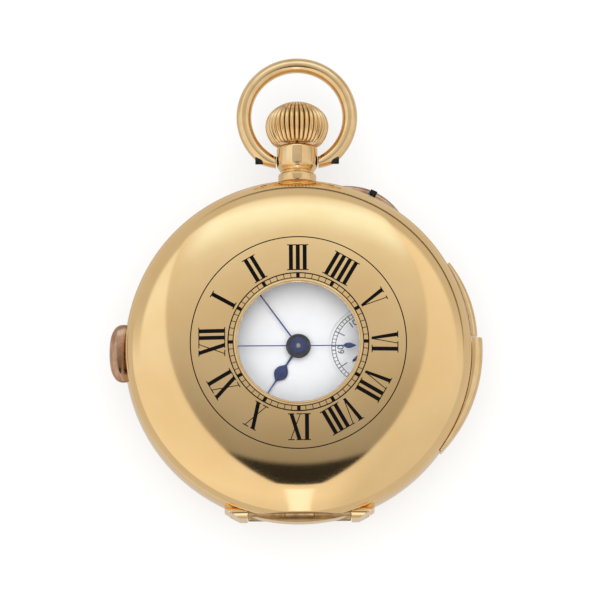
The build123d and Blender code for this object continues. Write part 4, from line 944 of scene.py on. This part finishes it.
def make_arbor_tip():
    """Bright dished end of the arbor in the middle of the hands."""
    bm = bmesh.new()
    tip = [(0, 0.25), (0.38, 0.25), (0.38, 0.36), (0.3, 0.42), (0.24, 0.42), (0.18, 0.33), (0.1, 0.33),
           (0.08, 0.38), (0, 0.38)]
    add_turning(bm, tip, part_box("chrono_hand")[0].z, 48)
    finish_mesh("hand_arbor_tip", bm, "chrono", STEEL, 35)


def make_seconds_hand():
    """Small leaf-tailed hand of the seconds circle."""
    blade = smooth_line([(-3.6, 0.05), (-3.2, 0.2), (-2.6, 0.24), (-2.0, 0.12), (-1.0, 0.07), (0.0, 0.1),
                         (2.6, 0.07), (5.2, 0.03)])
    hub = [(0, 0), (0.48, 0), (0.5, 0.04), (0.42, 0.1), (0, 0.12)]
    make_hand("seconds_hand_blued", "seconds_hand", "fourth", [blade], hub, radians(40.0), (SUNK_X, 0))


# ---- things on the rim --------------------------------------------------------------
# Radii, distances and half heights on the rim are in millimetres, and angles in degrees from +X.
def make_pusher():
    """Oval rose-gold button with a flat side wall and a pillowed face."""
    bm = bmesh.new()
    # distance out, half height, half length of each section
    sections = [(26.95, 1.3, 4.5), (26.97, 1.36, 4.6), (27.5, 1.52, 4.66), (28.0, 1.66, 4.64),
                (28.4, 1.7, 4.52), (28.75, 1.66, 4.3), (29.1, 1.5, 3.9), (29.4, 1.26, 3.35),
                (29.62, 0.98, 2.75), (29.78, 0.64, 1.9), (29.88, 0.25, 0.8)]
    around = 96
    fullness = 0.9          # below 1 the oval is a little squarer than an ellipse
    stem_r, stem_outer, stem_inner = 0.5 * MM, -27.3 * MM, -24.6 * MM

    def squared(value):
        return abs(value) ** fullness * (1 if value > 0 else -1)

    loops = []
    for out, half_height, half_length in sections:
        loop = []
        for index in range(around):
            angle = 2 * pi * index / around
            y = half_length * squared(cos(angle))
            z = half_height * squared(sin(angle))
            loop.append(bm.verts.new((-out * MM, y * MM, STEM_Z + z * MM)))
        loops.append(loop)
    skin(bm, loops)
    cap_ends(bm, loops)
    add_rod_x(bm, stem_r, stem_outer, stem_inner, 0, STEM_Z, 24)
    finish_mesh("chronograph_button", bm, "pusher", ROSE_GOLD, 40, ["chrono_pusher"])


def through_three(*points):
    """Smooth value over angle that passes through three (angle, value) pairs."""
    def value(angle):
        total = 0.0
        for index, (here, height) in enumerate(points):
            share = height
            for other, (there, _) in enumerate(points):
                if other != index:
                    share *= (angle - there) / (here - there)
            total += share
        return total
    return value


def cushion_section(inner, outside, half, power, arc):
    """Outer side of a section of the rim, from top to bottom: a superellipse on the round of the band."""
    section = []
    for step in range(arc + 1):
        turn = pi / 2 - pi * step / arc
        side = 1 if turn > 0 else -1
        height = side * half * abs(sin(turn)) ** (2 / power)
        seat = inner - SEAT_HOLLOW * (height / SLIDE_HALF) ** 2
        section.append((seat + (outside - seat) * max(cos(turn), 0.0) ** (2 / power), height))
    return section


def add_rim_sweep(bm, start, end, outer, inner, half, channel, power, steps=72):
    """Sweeps a cushion section round the rim; channel gives (depth radius, half height) or is None."""
    arc = 16                # steps of the cushion's outer side
    upper, lower = 5, 11    # its points next to the channel's two inner corners
    loops = []
    for index in range(steps + 1):
        position = start + (end - start) * index / steps
        section = cushion_section(inner, outer(position), half, power, arc)
        if channel:
            depth, opening = channel(position)
            section += [(inner, -opening), (depth, -opening), (depth, opening), (inner, opening)]
        angle = radians(position)
        loops.append([bm.verts.new((r * MM * cos(angle), r * MM * sin(angle), STEM_Z + z * MM))
                      for r, z in section])
    skin(bm, loops)
    if not channel:
        cap_ends(bm, loops)
        return
    for loop in (loops[0], loops[-1]):
        cushion, (low_in, low_deep, high_deep, high_in) = loop[:arc + 1], loop[arc + 1:]
        bm.faces.new(cushion[:upper + 1] + [high_deep, high_in])
        bm.faces.new(cushion[upper:lower + 1] + [low_deep, high_deep])
        bm.faces.new(cushion[lower:] + [low_in, low_deep])


def make_slide():
    """Thumb slide with a step at its top, a channel for the track, and a long tapering tail."""
    bm = bmesh.new()
    tail_end, channel_step, top_end = -36.0, -14.4, 4.0
    shallow, deep, opening = 27.62, 28.58, 1.3
    outer = through_three((tail_end, 27.78), (-18.0, 28.74), (top_end, 29.15))

    def channel(angle):
        return (deep if angle > channel_step else shallow, opening)

    add_rim_sweep(bm, tail_end, top_end, outer, BAND_SEAT, SLIDE_HALF, channel, 2.3)
    finish_mesh("repeater_thumb_slide", bm, "slide", GOLD_FINE, 45, ["repeater_slide"])


def make_track():
    """Raised guide on the band above the slide."""
    bm = bmesh.new()
    lower_end, upper_end = 5.0, 30.6
    outer = through_three((lower_end, 28.42), (18.0, 28.48), (upper_end, 28.0))
    add_rim_sweep(bm, lower_end, upper_end, outer, BAND_SEAT, 1.15, None, 2.5)
    finish_mesh("slide_guide", bm, "case", GOLD_FINE, 45, ["slide_track"])


def make_guard():
    """Rose-gold olivette round the setting pin, notched so that the dark pin shows."""
    bm = bmesh.new()
    middle, half_span, notch = 64.8, 10.3, 1.25
    seat, edge_r, bulge = 27.56, 27.62, 1.0
    notch_r = 27.6

    def lens(angle):
        return edge_r + bulge * (1 - ((angle - middle) / (half_span + 0.3)) ** 2)

    for start, end in ((middle - half_span, middle - notch), (middle + notch, middle + half_span)):
        add_rim_sweep(bm, start, end, lens, seat, 1.5, None, 3.0, 40)
    add_rim_sweep(bm, middle - notch, middle + notch, lambda _: notch_r, seat, 1.2, None, 6.0, 6)
    finish_mesh("setting_pin_guard", bm, "case", ROSE_GOLD, 45, ["set_pin_guard"])


def make_set_pin_head():
    """Blackened nail-head of the setting pin."""
    bm = bmesh.new()
    seat, top_r = 28.02, 28.7
    add_rim_sweep(bm, 63.75, 65.85, lambda _: top_r, seat, 1.42, None, 6.0, 6)
    finish_mesh("setting_pin_head", bm, "set_pin", BLACK_STEEL, 45)


# ---- stage, light and camera ----------------------------------------------------------
def make_floor():
    """White sheet under the watch; the polished gold sees it as evenly bright, whatever light falls on it."""
    half, top, bottom = 1.5, -0.02 * MM, -20 * MM
    glow = 0.66
    bm = bmesh.new()
    add_prism(bm, [(-half, -half), (half, -half), (half, half), (-half, half)], bottom, top)
    material, tree, shader = new_material("floor_white")
    set_inputs(shader, Base_Color=(0.27, 0.265, 0.26, 1), Roughness=0.8, Specular_IOR_Level=0.1)
    set_inputs(shader, Emission_Color=(1.0, 0.995, 0.985, 1), Emission_Strength=glow)
    mirrored = tree.nodes.new("ShaderNodeEmission")
    set_inputs(mirrored, Strength=glow)
    rays = tree.nodes.new("ShaderNodeLightPath")
    both = tree.nodes.new("ShaderNodeMixShader")
    tree.links.new(rays.outputs["Is Glossy Ray"], both.inputs["Fac"])
    tree.links.new(shader.outputs["BSDF"], both.inputs[1])
    tree.links.new(mirrored.outputs["Emission"], both.inputs[2])
    tree.links.new(both.outputs["Shader"], tree.nodes["Material Output"].inputs["Surface"])
    new_object("floor", new_mesh("floor", bm, material))


SLIDE_WAY, PUSHER_WAY = (1, 0, 0), (-1, 0, 0)
CROWN_WAY, HINGE_WAY = (0, 1, 0), (0, -1, 0)
DOWN = (0, 0, -1)


def sky_direction(azimuth, from_zenith):
    """Unit vector; azimuth runs clockwise from +Y seen from above, both in degrees."""
    turn, tilt = radians(azimuth), radians(from_zenith)
    return Vector((sin(turn) * sin(tilt), cos(turn) * sin(tilt), cos(tilt)))


def grey(value, warmth=0.0):
    """A grey, made a little warmer or, when warmth is negative, cooler."""
    return (value * (1 + warmth), value, value * (1 - warmth))


# where the light leans from the hinge (0) to the crown (1), its brightness, and its warmth if it has any
WALL_STOPS = [(0.0, 0.86), (0.15, 0.98), (0.35, 0.92), (0.5, 0.90), (0.7, 1.08, -0.08), (0.86, 1.06, -0.08),
              (0.93, 0.74), (1.0, 0.58)]
SLIDE_WALL_STOPS = [(0.0, 0.74), (0.35, 0.76), (0.5, 0.84), (0.7, 0.90), (0.86, 1.0), (0.93, 0.74),
                    (1.0, 0.58)]
ROOF_DIM_STOPS = [(0.36, 0.30), (0.5, 0.43), (0.63, 0.66)]
ROOF_STOPS = ROOF_DIM_STOPS + [(0.76, 0.88, -0.05), (0.83, 1.26, -0.16), (0.88, 1.36, -0.18),
                               (0.93, 1.05, -0.08), (0.965, 0.62), (1.0, 0.58)]
ROOF_END_STOPS = ROOF_DIM_STOPS + [(0.76, 0.80), (0.86, 0.86), (0.93, 0.76), (1.0, 0.58)]
# corners of the roof panel: azimuth and angle from the zenith, and the softness of the side that follows
SHIELD = [(-37.4, 69, 0.02), (-110, 21, 0.02), (-166, 29, 0.012), (166, 29, 0.02), (110, 20, 0.014),
          (62, 32, 0.014), (44, 46, 0.014), (26.6, 69.3, 0.05)]
HORIZON_SHADE = grey(0.64)
LENS_SHADE = grey(0.03)
SLOT_SHADE = (1.28, 1.34, 1.55)
SKYLINE_SHADE = grey(0.12, 0.1)


def along(tree, direction, axis):
    """How far a direction leans along an axis: its dot product with it."""
    dot = tree.nodes.new("ShaderNodeVectorMath")
    dot.operation = "DOT_PRODUCT"
    dot.inputs[1].default_value = axis
    tree.links.new(direction, dot.inputs[0])
    return dot.outputs["Value"]


def grey_ramp(tree, factor, stops):
    """Ramp of greys."""
    return ramp(tree, factor, [(position, grey(*shade)) for position, *shade in stops])


def lean_share(tree, direction):
    """0 for light from straight beyond the hinge, 0.5 from overhead, 1 from straight beyond the crown."""
    shift = tree.nodes.new("ShaderNodeMapRange")
    set_inputs(shift, From_Min=-1.0, From_Max=1.0)
    tree.links.new(along(tree, direction, CROWN_WAY), shift.inputs["Value"])
    return shift.outputs["Result"]


def sky_patch(tree, direction, corners):
    """Mask of a convex patch of sky given by its corners."""
    sides = []
    for index, (azimuth, from_zenith, softness) in enumerate(corners):
        following = corners[(index + 1) % len(corners)]
        normal = sky_direction(azimuth, from_zenith).cross(sky_direction(*following[:2])).normalized()
        sides.append(smooth_step(tree, along(tree, direction, normal), -softness, softness))
    return product(tree, *sides)


def tent_light(tree, direction):
    """Colour of the studio in a direction. Its parts are laid over one another from the back to the front."""
    def beyond(axis, start, end):
        return smooth_step(tree, along(tree, direction, axis), start, end)

    lean = lean_share(tree, direction)
    walls = grey_ramp(tree, lean, WALL_STOPS)
    slide_walls = grey_ramp(tree, lean, SLIDE_WALL_STOPS)
    roof = grey_ramp(tree, lean, ROOF_STOPS)
    roof_ends = grey_ramp(tree, lean, ROOF_END_STOPS)
    roof_middle = product(tree, beyond(SLIDE_WAY, -0.60, -0.34), beyond(PUSHER_WAY, -0.56, -0.36))
    shield = sky_patch(tree, direction, SHIELD)
    below_horizon = product(tree, beyond(DOWN, -0.50, -0.36), beyond(CROWN_WAY, 0.05, 0.45))
    lens = product(tree, shield, beyond(HINGE_WAY, 0.19, 0.25))
    slot = product(tree, beyond(HINGE_WAY, 0.53, 0.57), beyond(SLIDE_WAY, -0.085, -0.06),
                   beyond(PUSHER_WAY, -0.085, -0.06))
    far_corner = sky_direction(28, 90)
    skyline = product(tree, beyond(DOWN, -0.13, -0.07), beyond(far_corner, 0.45, 0.9))

    light = mix_colours(tree, beyond(SLIDE_WAY, 0.1, 0.4), walls, slide_walls)
    light = mix_colours(tree, below_horizon, light, HORIZON_SHADE)
    light = mix_colours(tree, shield, light, mix_colours(tree, roof_middle, roof_ends, roof))
    light = mix_colours(tree, lens, light, LENS_SHADE)
    light = mix_colours(tree, slot, light, SLOT_SHADE)
    return mix_colours(tree, skyline, light, SKYLINE_SHADE)


def make_tent():
    """Studio as seen by the polished case: a shield-shaped roof panel, brightest towards the crown, paler
    walls, a bright slot and the dark lens on the hinge side, and a dim line at the far horizon."""
    world = bpy.data.worlds.new("light_tent")
    bpy.context.scene.world = world
    world.use_nodes = True
    tree = world.node_tree
    background = tree.nodes["Background"]
    direction = tree.nodes.new("ShaderNodeTexCoord").outputs["Generated"]
    tree.links.new(tent_light(tree, direction), background.inputs["Color"])
    set_inputs(background, Strength=1.0)


def make_fill():
    """Broad soft light from above; it lights the dial and the floor and has no reflection of its own."""
    data = bpy.data.lights.new("soft_fill", "SUN")
    data.energy = 2.45
    data.angle = radians(85)
    fill = new_object("soft_fill", data)
    fill.rotation_euler = (radians(3), 0, 0)
    fill.visible_glossy = False


def make_camera():
    """Looks down on the hinge side, 12 degrees off the vertical, through a long lens."""
    tilt, roll = radians(12.0), radians(0.4)
    distance = 1.4
    field = 95.0 * MM                     # width of the view at the watch
    sensor = 36.0
    target = Vector((0.3 * MM, 8.5 * MM, STEM_Z))
    data = bpy.data.cameras.new("camera")
    data.sensor_width = sensor
    data.lens = sensor * distance / field
    data.clip_start, data.clip_end = 0.05, 20.0
    camera = new_object("camera", data)
    camera.location = target + Vector((0, -sin(tilt), cos(tilt))) * distance
    camera.rotation_mode = "QUATERNION"
    turn = Matrix.Rotation(tilt, 4, "X") @ Matrix.Rotation(-roll, 4, "Z")
    camera.rotation_quaternion = turn.to_quaternion()
    bpy.context.scene.camera = camera


dress_cad_nodes()
make_front_cover()
make_back_cover()
make_aperture_bezel()
make_cover_glass()
make_crown()
make_pendant()
make_cartouche()
make_bow()
make_bow_screws()
make_cover_numerals()
make_dial_printing()
make_seconds_printing()
make_hour_hand()
make_minute_hand()
make_hand_collar()
make_chronograph_hand()
make_arbor_tip()
make_seconds_hand()
make_pusher()
make_slide()
make_track()
make_guard()
make_set_pin_head()
make_floor()
make_tent()
make_fill()
make_camera()
bpy.context.scene.view_settings.view_transform = "Standard"
